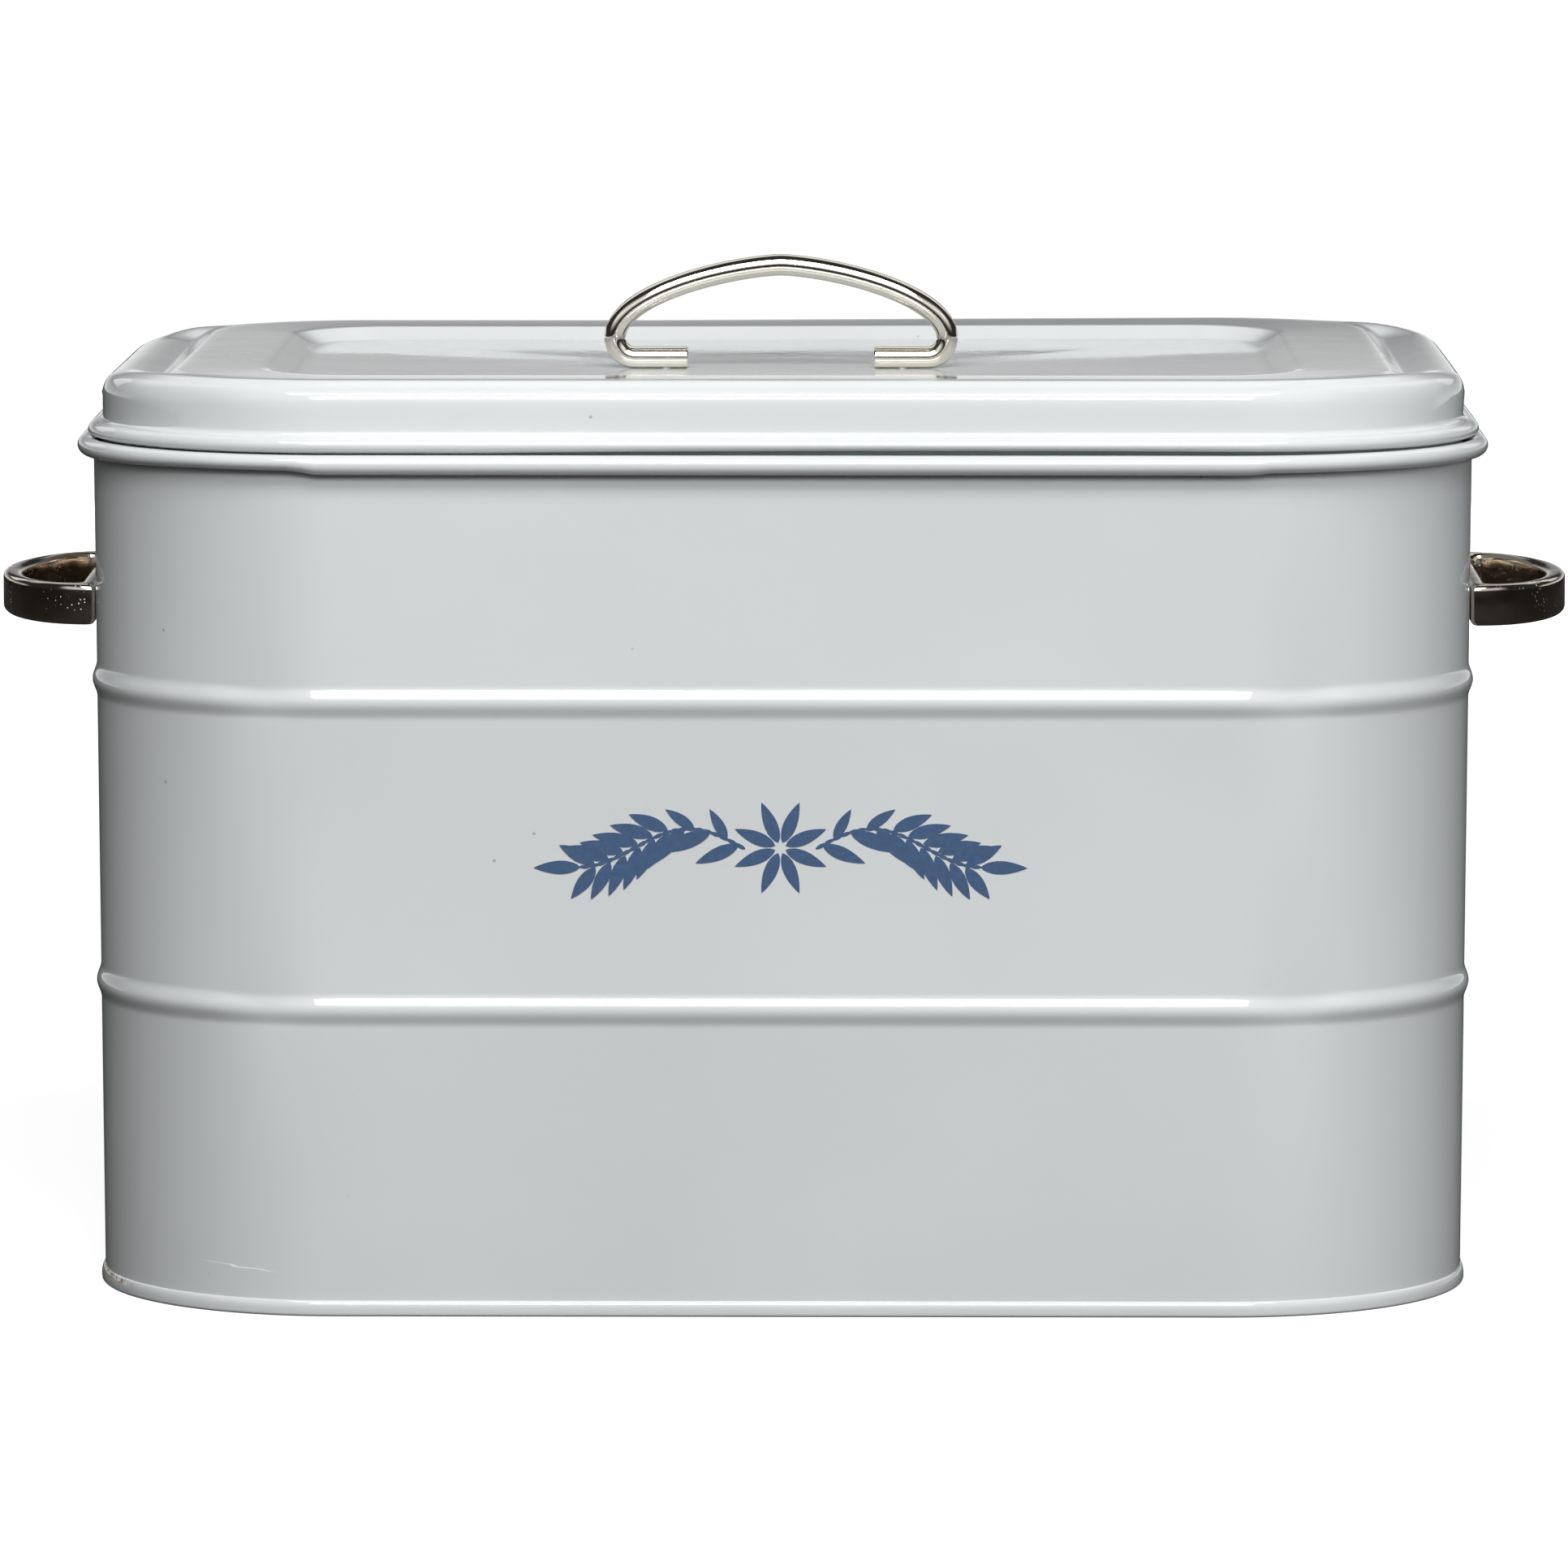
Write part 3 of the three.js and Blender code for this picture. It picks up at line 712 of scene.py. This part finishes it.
class BREADBIN_OT_lid_cover(bpy.types.Operator):
    """Lid cover: rolled edge, skirt, shoulder, raised ring and recessed panel"""
    bl_idname = "breadbin.lid_cover"
    bl_label = "Lid cover"

    def execute(self, context):
        sheet = context.scene.bin_sheet
        lid = context.scene.bin_lid
        centre = lid.roll_reach - lid.roll_radius
        seat = cover_low.z + lid.roll_radius
        flare = centre + lid.skirt_inset
        skirt = arc(centre, seat, lid.roll_radius, -180, 90, 24)
        skirt += arc(centre, seat + lid.roll_radius + flare, flare, 270, 180, 8)[1:]
        upper = [beside_wall(sheet, out, up) for out, up in skirt]

        half_x, half_y, skirt_corner, start = upper[-1][:4]
        top = cover_high.z
        foot = top - start - CLEARANCE
        ring_x, ring_y = lid.ring_width / 2, lid.ring_depth / 2
        recess_x, recess_y = lid.recess_width / 2, lid.recess_depth / 2
        drop, tilt = lid.recess_drop, lid.ring_tilt
        # Each row is a station with its heights counted down from the top, and how far it is rounded.
        rows = [
            (half_x, half_y, skirt_corner, foot, foot, foot, 0.0),
            (half_x - 0.8 * mm, half_y - 0.3 * mm, skirt_corner + 1.5 * mm,
             3.1 * mm, 2.6 * mm, 2.4 * mm, 0.45),
            (half_x - 5.5 * mm, half_y - 3.4 * mm, skirt_corner - 4 * mm,
             1.5 * mm, 1.75 * mm, 0.95 * mm, 0.45),
            (half_x - 9.5 * mm, ring_y + 0.2 * mm, 50 * mm, 1.5 * mm, 0.25 * mm, 0.2 * mm, 0.5),
            (ring_x + 4.7 * mm, ring_y - 1.2 * mm, 43 * mm, 2.7 * mm, 0.05 * mm, 0.05 * mm, 0.16),
            (ring_x, ring_y - 4.5 * mm, lid.ring_corner, 0.0, 0.0, 0.0, 0.2),
            (recess_x, recess_y, lid.recess_corner, tilt, tilt, tilt, 0.12),
            (recess_x - 5.4 * mm, recess_y - 4.3 * mm, 20 * mm, drop, drop, drop, 0.12),
            (recess_x - 32 * mm, recess_y - 22 * mm, 12 * mm, *[drop + 0.5 * lid.dish] * 3, 0.0),
        ]
        rows = [(*row[:3], *[top - below for below in row[3:6]], row[6]) for row in rows]
        upper += rounded_stations(rows, 5)
        upper += panel_to_middle(upper[-1], top - drop - lid.dish, 9)[::-1]
        lower = other_face(upper, sheet.sheet)[::-1]
        piece = pressing("lid_cover_pressing", lower, upper, lid.corner_steps, 24)
        for vertex in piece.data.vertices:
            vertex.co += lid_warp(lid, vertex.co)
        finish_piece(piece, "lid", "grey_enamel", "lid_cover")
        return {"FINISHED"}


def lid_warp(lid, place):
    """How far the pressed lid strays from a true shape.

    Its top rises towards the rear and at two corners there, its ends pull in, its skirt has soft
    dents and its roll bows up off the rim.
    """
    above = place.z - cover_low.z
    across = place.x / cover_high.x
    rear = ramp(place.y / cover_high.y, -1.0, 1.0)
    left, right = ramp(-across, 0.6, 1.0), ramp(across, 0.6, 1.0)
    high = ramp(above, 3 * mm, 14 * mm)
    crown = ramp(above, 8 * mm, 16 * mm)
    foot = ramp(above, 9.2 * mm, 7 * mm) * ramp(above, 0.0, 5 * mm)
    if place.x > 0:
        shoulder = hump(place.x, 160 * mm, (4 if place.x > 160 * mm else 16) * mm)
    else:
        shoulder = 0.4 * hump(place.x, -153 * mm, 6 * mm)
    to_right = min(max(1.3 * across, -0.3), 1.0)
    lift = lid.lift + lid.right_lift * rear ** 2 * to_right + lid.corner_lift * shoulder
    bowed = max(0.0, 1 - ((place.x - 40 * mm) / (110 * mm)) ** 2)
    gape = lid.gape * bowed * ramp(above, 2.4 * mm, 0.0)
    dent = lid.dent * hump(abs(place.x), 137 * mm, 8 * mm) * hump(above, 8.5 * mm, 3.5 * mm)
    inward = left * (lid.pull * crown * rear + lid.foot_pull * foot)
    inward -= right * (0.9 * lid.pull * crown * rear ** 4 + 0.4 * lid.foot_pull * foot)
    return Vector((inward, -math.copysign(dent, place.y), high * rear ** 2 * lift + gape))


class BREADBIN_OT_lid_collar(bpy.types.Operator):
    """Locating collar inside the lid"""
    bl_idname = "breadbin.lid_collar"
    bl_label = "Lid collar"

    def execute(self, context):
        sheet = context.scene.bin_sheet
        outer = collar_high.x - (wall_high.x - 2 * sheet.rim_radius + sheet.sheet)
        foot = collar_low.z
        line = smooth_line([(outer - 1.0 * mm, foot), (outer - 0.35 * mm, foot + 0.9 * mm),
                            (outer, foot + 2.2 * mm)], 5)
        line = [tuple(point) for point in line] + [(outer, collar_high.z)]
        piece = swept_sheet("lid_collar_band", sheet_section(line, sheet.sheet), 0.5 * foot)
        finish_piece(piece, "lid", "grey_enamel", "lid_collar")
        return {"FINISHED"}


ROD_SPREAD = 0.35 * mm     # how far the rod is bent wider than its model on each side
ROD_SHIFT = -0.7 * mm      # how far it stands to the left of the middle


def rod_line(sizes):
    """The rod's centre line from foot to foot, standing on the lid's panel."""
    radius = sizes.rod / 2
    reach = rod_high.x + ROD_SPREAD - radius
    base = rod_low.z - sizes.sink + radius
    top = rod_high.z - sizes.sink - radius
    rise = top - base - sizes.bend
    bend_centre = reach - sizes.bend
    foot = sizes.foot_spread / 2
    half = [(foot, base), (foot + sizes.end_chamfer, base)]
    half += [(foot + (bend_centre - foot) * step / 6, base) for step in range(1, 6)]
    half += arc(bend_centre, base + sizes.bend, sizes.bend, -90, 0, 20)[:-1]
    half += [(reach * out ** (2 / sizes.peak), base + sizes.bend + rise * up)
             for out, up in unit_arc(0, 90, 60)[:-1]]
    left, right = ([(ROD_SHIFT + way * x, 0.0, z) for x, z in half] for way in (-1, 1))
    return left + [(ROD_SHIFT, 0.0, top)] + right[::-1]


def bent_rod_tree():
    """Sweeps a round bar along a line and chamfers its two ends."""
    sizes = [("Radius", "Float", 2.6 * mm), ("Sides", "Int", 40), ("Chamfer", "Float", 0.35 * mm)]
    tree, given = new_tree("Bent rod", sizes)
    line = add_node(tree, "GeometryNodeMeshToCurve", [(0, given["Geometry"])])
    ring = add_node(tree, "GeometryNodeCurvePrimitiveCircle",
                    [("Resolution", given["Sides"]), ("Radius", given["Radius"])])
    along = add_node(tree, "GeometryNodeSplineParameter").outputs["Length"]
    whole = add_node(tree, "GeometryNodeSplineLength").outputs["Length"]
    near = math_node(tree, "MINIMUM", along, math_node(tree, "SUBTRACT", whole, along))
    share = math_node(tree, "MINIMUM", math_node(tree, "DIVIDE", near, given["Chamfer"]), 1.0)
    cut = math_node(tree, "DIVIDE", given["Chamfer"], given["Radius"])
    less = times(tree, cut, math_node(tree, "SUBTRACT", 1.0, share))
    scale = math_node(tree, "SUBTRACT", 1.0, less)
    swept = add_node(tree, "GeometryNodeCurveToMesh",
                     [("Curve", line), ("Profile Curve", ring), ("Scale", scale), ("Fill Caps", True)])
    return end_tree(tree, given, swept)


class BREADBIN_OT_lid_handle(bpy.types.Operator):
    """Bent rod handle on the lid"""
    bl_idname = "breadbin.lid_handle"
    bl_label = "Lid handle"

    def execute(self, context):
        sizes = context.scene.bin_handles
        values = {"Radius": sizes.rod / 2, "Sides": 40, "Chamfer": sizes.end_chamfer,
                  "Material": finish_of("bright_nickel")}
        piece = run_tree(line_object("lid_handle_rod", rod_line(sizes)), bent_rod_tree(), values)
        finish_piece(piece, "lid", "bright_nickel", "lid_handle")
        return {"FINISHED"}


def loop_outline(reach, span, back, corner, bow_steps=60, corner_steps=6, back_steps=10):
    """A closed D seen from above: the bow, a rounded corner, the straight back and a corner."""
    middle = back + corner
    straight = span - corner
    turn = arc(middle, straight, corner, 90, 180, corner_steps)[1:]
    bow = unit_arc(-90, 90, bow_steps)
    points = [(middle + (reach - middle) * out, span * along) for out, along in bow]
    points += turn
    points += [(back, straight * (1 - 2 * step / back_steps)) for step in range(1, back_steps)]
    points += [(out, -along) for out, along in turn[::-1]]
    return points


class BREADBIN_OT_side_loops(bpy.types.Operator):
    """Closed loops of flat bar on the short sides"""
    bl_idname = "breadbin.side_loops"
    bl_label = "Side loops"

    def execute(self, context):
        sizes = context.scene.bin_handles
        span = loop_high.y
        reach = loop_high.x - loop_low.x
        middle = (loop_low.z + loop_high.z) / 2
        half = (loop_high.z - loop_low.z) / 2
        edge = sizes.loop_edge
        bevel = [(edge - out, half - edge + up) for out, up in arc(0.0, 0.0, edge, 0, 90, 5)]
        bar, back = sizes.loop_bar, sizes.loop_back
        outer_round, inner_round = 0.9 * mm, 3.0 * mm
        outer = [(loop_outline(reach - inset, span - inset, inset, outer_round), up)
                 for inset, up in bevel]
        inner = [(loop_outline(reach - bar + inset, span - bar + inset, back - inset, inner_round), up)
                 for inset, up in bevel]
        levels = [(plan, -up) for plan, up in outer[::-1]] + outer
        levels += inner[::-1] + [(plan, -up) for plan, up in inner]
        for side, name in ((-1, "left"), (1, "right")):
            rings = [[(side * (loop_low.x + x), side * y, middle + up) for x, y in plan]
                     for plan, up in levels]
            piece = ring_piece(f"side_loop_{name}", rings, closed=True)
            finish_piece(piece, "bin", "dark_nickel", f"side_handle_{name}")
        return {"FINISHED"}


def circle_rings(profile, sides=40):
    circle = unit_arc(0, 360, sides)[:-1]
    return [[(radius * x, radius * y, height) for x, y in circle] for radius, height in profile]


def plain_box(name, half_x, half_y, low, high):
    plan = [(-half_x, -half_y), (half_x, -half_y), (half_x, half_y), (-half_x, half_y)]
    vertices = [(x, y, z) for z in (low, high) for x, y in plan]
    sides = [(side, (side + 1) % 4, (side + 1) % 4 + 4, side + 4) for side in range(4)]
    return new_piece(name, vertices, [(3, 2, 1, 0), (4, 5, 6, 7), *sides])


def pan_head_screw(name, shank, head, head_height, length):
    """A slotted pan head screw that stands on the end of its shank."""
    tip = 0.3 * mm
    profile = [(shank - tip, 0.0), (shank, tip), (shank, length), (head, length)]
    profile += [(head * (0.55 + 0.45 * out), length + head_height * (0.35 + 0.65 * up))
                for out, up in unit_arc(0, 90, 8)]
    screw = ring_piece(name, circle_rings(profile))
    top = length + head_height
    slot = plain_box(name + "_slot", 1.2 * head, 0.5 * mm, top - 0.9 * mm, top + head_height)
    modifier = screw.modifiers.new("slot", "BOOLEAN")
    modifier.operation = "DIFFERENCE"
    modifier.object = slot
    modifier.solver = "EXACT"
    screw.data = evaluated_mesh(screw)
    screw.modifiers.remove(modifier)
    bpy.data.objects.remove(slot)
    return screw


def flat_washer(name, inner, outer, thickness):
    """A washer with softened edges that lies on z = 0."""
    soft = 0.15 * mm
    profile = [(inner, soft), (inner + soft, 0.0), (outer - soft, 0.0), (outer, soft),
               (outer, thickness - soft), (outer - soft, thickness), (inner + soft, thickness),
               (inner, thickness - soft)]
    return ring_piece(name, circle_rings(profile), closed=True)


def own_value(tree, name):
    """A point's own stored vector."""
    node = add_node(tree, "GeometryNodeInputNamedAttribute", [("Name", name)], data_type="FLOAT_VECTOR")
    return next(socket for socket in node.outputs if socket.enabled)


def parts_on_points_tree():
    """Puts a part on every point, turned and stretched by the point's own values."""
    tree, given = new_tree("Parts on points", [("Part", "Object", None)])
    part = add_node(tree, "GeometryNodeObjectInfo", [("Object", given["Part"])])
    turn = add_node(tree, "FunctionNodeEulerToRotation", [(0, own_value(tree, "turn"))])
    copies = add_node(tree, "GeometryNodeInstanceOnPoints",
                      [("Points", given["Geometry"]), ("Instance", part.outputs["Geometry"]),
                       ("Rotation", turn), ("Scale", own_value(tree, "stretch"))])
    return end_tree(tree, given, copies)


def scatter(name, part, places, slot):
    """Copies of a part at (place, turn, stretch) rows, as one plain mesh."""
    holder = holder_object(name, [place for place, _, _ in places])
    for column, label in ((1, "turn"), (2, "stretch")):
        layer = holder.data.attributes.new(label, "FLOAT_VECTOR", "POINT")
        layer.data.foreach_set("vector", [number for row in places for number in row[column]])
    tree = bpy.data.node_groups.get("Parts on points") or parts_on_points_tree()
    piece = run_tree(holder, tree, {"Part": part, "Material": finish_of(slot)})
    bpy.data.objects.remove(part)
    return piece


def fastener_place(node, body):
    """Where a screw's tip or a washer's far face is, with its turn."""
    low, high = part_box(node)
    middle = (low + high) / 2
    if body == "lid":
        return ((middle.x, middle.y, high.z), (math.pi, 0.0, 0.0), (1, 1, 1))
    outwards = 1 if middle.x > 0 else -1
    far = high.x if outwards > 0 else low.x
    return ((far, middle.y, middle.z), (0.0, -outwards * math.pi / 2, 0.0), (1, 1, 1))


class BREADBIN_OT_fasteners(bpy.types.Operator):
    """Screws and washers inside the bin and under the lid"""
    bl_idname = "breadbin.fasteners"
    bl_label = "Screws and washers"

    def execute(self, context):
        sides = [f"{side}_{end}" for side in ("left", "right") for end in ("front", "back")]
        sets = [("bin", "side_handle", sides, 1.8 * mm, 2.4 * mm),
                ("lid", "lid_handle", ["left", "right"], 1.4 * mm, 2.0 * mm)]
        for body, handle, ends, shank, head_height in sets:
            for kind in ("screw", "washer"):
                nodes = [f"{handle}_{kind}_{end}" for end in ends]
                low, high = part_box(nodes[0])
                along = high.z - low.z if body == "lid" else high.x - low.x
                across = (high.y - low.y) / 2
                name = f"{handle}_{kind}s"
                if kind == "screw":
                    part = pan_head_screw(name + "_part", shank, across, head_height, along - head_height)
                else:
                    part = flat_washer(name + "_part", shank + CLEARANCE, across, along)
                places = [fastener_place(node, body) for node in nodes]
                piece = scatter(name, part, places, "zinc_steel")
                finish_piece(piece, body, "zinc_steel", *nodes)
        return {"FINISHED"}


def leaf_plate(name, length, width, thickness, steps=14):
    """A thin pointed leaf that lies along x in the plane of x and z, from its root at the origin."""
    shares = [step / steps for step in range(1, steps)]
    upper = [(length * share, width / 2 * math.sin(math.pi * share ** 0.8) ** 0.85) for share in shares]
    outline = [(0.0, 0.0), *[(x, -z) for x, z in upper], (length, 0.0), *upper[::-1]]
    count = len(outline)
    vertices = [(x, y, z) for y in (-thickness, thickness) for x, z in outline]
    faces = [tuple(range(count)), tuple(range(2 * count - 1, count - 1, -1))]
    faces += [(side, side + count, (side + 1) % count + count, (side + 1) % count)
              for side in range(count)]
    return new_piece(name, vertices, faces)


def stem_point(sizes, share):
    """A place on the wavy stem, from beside the ornament's rosette out to the ear's last grain."""
    half = sizes.width / 2
    return Vector((half * (0.15 + 0.66 * share), sizes.wave * math.sin(1.5 * math.pi * share)))


LEAVES = (                 # place along the stem, lean in degrees, length and width in grains
    (0.03, -52, 1.0, 1.0), (0.10, 34, 0.75, 0.8), (0.20, -38, 1.25, 1.15),
    (0.30, 30, 0.75, 0.8), (0.36, -40, 1.2, 1.1),
)
STEM_STEPS = 20
EAR_START = 0.46           # place along the stem where its grains begin
GRAIN_LEAN = math.radians(40)


def ear_rows(sizes, way):
    """Rows for one ear of corn: its stem, its leaves, its grains and the grain at its tip."""
    rows = []

    def add(place, angle, long, wide):
        turn = -angle if way > 0 else math.pi + angle
        rows.append(((way * place.x, 0.0, sizes.height + place.y), (0.0, turn, 0.0), (long, 1.0, wide)))

    def heading(share):
        run = stem_point(sizes, share + 0.01) - stem_point(sizes, share)
        return math.atan2(run.y, run.x)

    for step in range(STEM_STEPS):
        here, there = (stem_point(sizes, (step + shift) / STEM_STEPS) for shift in (-0.25, 1.25))
        run = there - here
        add(here, math.atan2(run.y, run.x), run.length / sizes.grain, 0.30)
    for share, lean, long, wide in LEAVES:
        add(stem_point(sizes, share), heading(share) + math.radians(lean), long, wide)
    for pair in range(sizes.grains):
        done = pair / sizes.grains
        share = EAR_START + (1 - EAR_START) * done
        along = heading(share)
        aside = 0.5 * mm * Vector((-math.sin(along), math.cos(along)))
        for side in (-1, 1):
            add(stem_point(sizes, share) + side * aside, along + side * GRAIN_LEAN,
                1.0 - 0.3 * abs(done - 0.35), 1.0)
    add(stem_point(sizes, 1.0), heading(0.99), 1.0, 1.0)
    return rows


def rosette_rows(sizes, petals=8):
    """Rows for the petals in the middle of the ornament."""
    open_by = 1.3 * mm
    rows = []
    for angle in [2 * math.pi * (petal + 0.5) / petals for petal in range(petals)]:
        place = (open_by * math.cos(angle), 0.0, sizes.height - open_by * math.sin(angle))
        rows.append((place, (0.0, angle, 0.0), (0.95, 1.0, 1.0)))
    return rows


class BREADBIN_OT_print(bpy.types.Operator):
    """Printed ornament of a rosette and two ears of corn on the front"""
    bl_idname = "breadbin.front_print"
    bl_label = "Front print"

    def execute(self, context):
        sheet = context.scene.bin_sheet
        sizes = context.scene.bin_print
        part = leaf_plate("print_grain", sizes.grain, 0.29 * sizes.grain, sizes.film)
        rows = rosette_rows(sizes) + ear_rows(sizes, 1) + ear_rows(sizes, -1)
        rows = [(place, turn, (long, 1.0 + 0.02 * layer, wide))
                for layer, (place, turn, (long, _, wide)) in enumerate(rows)]
        piece = scatter("front_print", part, rows, "blue_print")
        front = beside_wall(sheet, 0.0, 0.0)[1]
        for vertex in piece.data.vertices:
            vertex.co.y -= front - sheet.lean * (1 - vertex.co.z / wall_high.z)
        finish_piece(piece, "bin", "blue_print")
        return {"FINISHED"}


# ---- Stage ----

LAMP_TARGET = Vector((0.0, 0.0, 0.12))
LAMPS = (                  # name, place, width, depth, brightness, seen in reflections
    ("overhead_softbox", (0.0, -0.8, 1.25), 1.2, 0.4, 10.0, True),
    ("front_softbox", (0.0, -1.8, 1.2), 1.2, 0.5, 9.0, True),
    ("right_softbox", (1.6, -0.9, 0.7), 0.6, 0.9, 4.4, False),
    ("rear_left_softbox", (-1.3, 1.9, 0.9), 0.7, 0.6, 1.0, True),
    ("rear_right_softbox", (1.3, 1.9, 0.9), 0.7, 0.6, 0.8, True),
    ("back_softbox", (0.0, 2.0, 0.3), 1.6, 0.5, 7.0, False),
)
CAMERA_PLACE = (0.0199, -2.4247, 0.408)
CAMERA_TURN = (math.radians(83.124), 0.0, math.radians(0.47))
CAMERA_LENS = 227.3        # focal length in mm over a sensor 36 mm wide
FLOOR_HALF = 14.0


def softbox(name, place, width, depth, brightness, reflected):
    """A soft lamp that faces the object and looks that bright, where 1 is white."""
    lamp = bpy.data.lights.new(name, "AREA")
    lamp.shape = "RECTANGLE"
    lamp.size, lamp.size_y = width, depth
    lamp.energy = math.pi * width * depth * brightness
    holder = add_object(name, lamp)
    holder.location = place
    holder.rotation_euler = (LAMP_TARGET - Vector(place)).to_track_quat("-Z", "Y").to_euler()
    holder.visible_glossy = reflected


def mix_value(tree, share, first, second):
    links = [(0, share), (2, first), (3, second)]
    return add_node(tree, "ShaderNodeMix", links, data_type="FLOAT").outputs[0]


def floor_material():
    """A pale floor that looks white away from the object and still takes its shadow."""
    material, tree, shader, place = new_material("pale floor")
    tree.nodes.remove(shader)
    rays = add_node(tree, "ShaderNodeLightPath").outputs
    away = add_node(tree, "ShaderNodeVectorMath", [(0, place)], operation="LENGTH").outputs["Value"]
    white = remap(tree, away, 0.5, 2.2, 0.80, 1.0)
    polished = math_node(tree, "MAXIMUM", rays["Is Glossy Ray"], rays["Is Transmission Ray"])
    level = mix_value(tree, rays["Is Camera Ray"], times(tree, polished, 0.01), white)
    unseen = mix_colour(tree, rays["Is Glossy Ray"], (0.06, 0.06, 0.06), (0.025, 0.022, 0.02))
    paint = mix_colour(tree, rays["Is Camera Ray"], unseen, (0.35, 0.35, 0.35))
    matt = add_node(tree, "ShaderNodeBsdfDiffuse", [("Color", paint)])
    glow = add_node(tree, "ShaderNodeEmission", [("Strength", level)])
    both = add_node(tree, "ShaderNodeAddShader", [(0, matt), (1, glow)])
    tree.links.new(both.outputs[0], tree.nodes["Material Output"].inputs["Surface"])
    return material


def soft_panel(tree, parts, low, high, facing, edge=6.0):
    """A soft patch of light between two heights, in degrees, in front or behind."""
    to_degrees = 180 / math.pi
    up = times(tree, math_node(tree, "ARCSINE", parts["Z"]), to_degrees)
    towards = times(tree, parts["Y"], facing)
    turn = times(tree, math_node(tree, "ARCTAN2", parts["X"], towards), to_degrees)
    tall = band(tree, up, (low - edge, low + edge), (high - edge, high + edge))
    return times(tree, tall, fade(tree, math_node(tree, "ABSOLUTE", turn), 60.0 - edge, 60.0 + edge))


def studio_world():
    """White to the eye, with a low soft panel in front and a dimmer one behind."""
    world = bpy.data.worlds.new("Studio")
    world.use_nodes = True
    tree = world.node_tree
    way = add_node(tree, "ShaderNodeTexCoord").outputs["Generated"]
    parts = add_node(tree, "ShaderNodeSeparateXYZ", [(0, way)]).outputs
    rays = add_node(tree, "ShaderNodeLightPath").outputs
    panels = math_node(tree, "ADD", soft_panel(tree, parts, 14.0, 38.0, -1.0, 9.0),
                       soft_panel(tree, parts, -4.0, 3.8, 1.0, 4.5))
    backdrop = times(tree, soft_panel(tree, parts, 26.0, 62.0, 1.0), 0.9)
    backdrop = times(tree, backdrop, rays["Is Glossy Ray"])
    level = math_node(tree, "ADD", math_node(tree, "ADD", panels, backdrop), 0.03)
    shader = tree.nodes["Background"]
    dress(tree, shader, Strength=mix_value(tree, rays["Is Camera Ray"], level, 1.0),
          Color=(1.0, 1.0, 1.0, 1.0))
    return world


class BREADBIN_OT_stage(bpy.types.Operator):
    """Floor, studio light and camera"""
    bl_idname = "breadbin.stage"
    bl_label = "Stage"

    def execute(self, context):
        scene = context.scene
        corners = [(FLOOR_HALF * x, FLOOR_HALF * y, 0) for x, y in ((-1, -1), (1, -1), (1, 1), (-1, 1))]
        floor = new_piece("floor", corners, [(0, 1, 2, 3)])
        floor.data.materials.append(floor_material())
        scene.world = studio_world()
        for lamp in LAMPS:
            softbox(*lamp)
        lens = bpy.data.cameras.new("camera")
        lens.sensor_width = 36.0
        lens.lens = CAMERA_LENS
        lens.clip_end = 60.0
        scene.camera = add_object("camera", lens)
        scene.camera.location = CAMERA_PLACE
        scene.camera.rotation_euler = CAMERA_TURN
        scene.view_settings.view_transform = "Standard"
        return {"FINISHED"}


class BREADBIN_PT_pieces(bpy.types.Panel):
    """Sizes, colours and pieces of the bread bin"""
    bl_idname = "BREADBIN_PT_pieces"
    bl_label = "Bread bin"
    bl_space_type = "VIEW_3D"
    bl_region_type = "UI"
    bl_category = "Bread bin"

    def draw(self, context):
        layout = self.layout
        for label in GROUPS:
            box = layout.box()
            group = getattr(context.scene, label)
            for prop in type(group).bl_rna.properties:
                if prop.identifier not in {"rna_type", "name"}:
                    box.prop(group, prop.identifier)
        for operator in OPERATORS:
            layout.operator(operator.bl_idname)


GROUPS = {
    "bin_sheet": BinSheetSizes,
    "bin_lid": BinLidSizes,
    "bin_handles": BinHandleSizes,
    "bin_print": BinPrintSizes,
    "bin_finish": BinFinishes,
}
OPERATORS = (
    BREADBIN_OT_body_wall,
    BREADBIN_OT_base,
    BREADBIN_OT_lid_cover,
    BREADBIN_OT_lid_collar,
    BREADBIN_OT_lid_handle,
    BREADBIN_OT_side_loops,
    BREADBIN_OT_fasteners,
    BREADBIN_OT_print,
    BREADBIN_OT_stage,
)


def register():
    for group in GROUPS.values():
        bpy.utils.register_class(group)
    for label, group in GROUPS.items():
        setattr(bpy.types.Scene, label, PointerProperty(type=group))
    for operator in OPERATORS:
        bpy.utils.register_class(operator)
    bpy.utils.register_class(BREADBIN_PT_pieces)


def unregister():
    bpy.utils.unregister_class(BREADBIN_PT_pieces)
    for operator in reversed(OPERATORS):
        bpy.utils.unregister_class(operator)
    for label, group in GROUPS.items():
        delattr(bpy.types.Scene, label)
        bpy.utils.unregister_class(group)


def main():
    register()
    for operator in OPERATORS:
        family, name = operator.bl_idname.split(".")
        getattr(getattr(bpy.ops, family), name)()


if __name__ == "__main__":
    main()
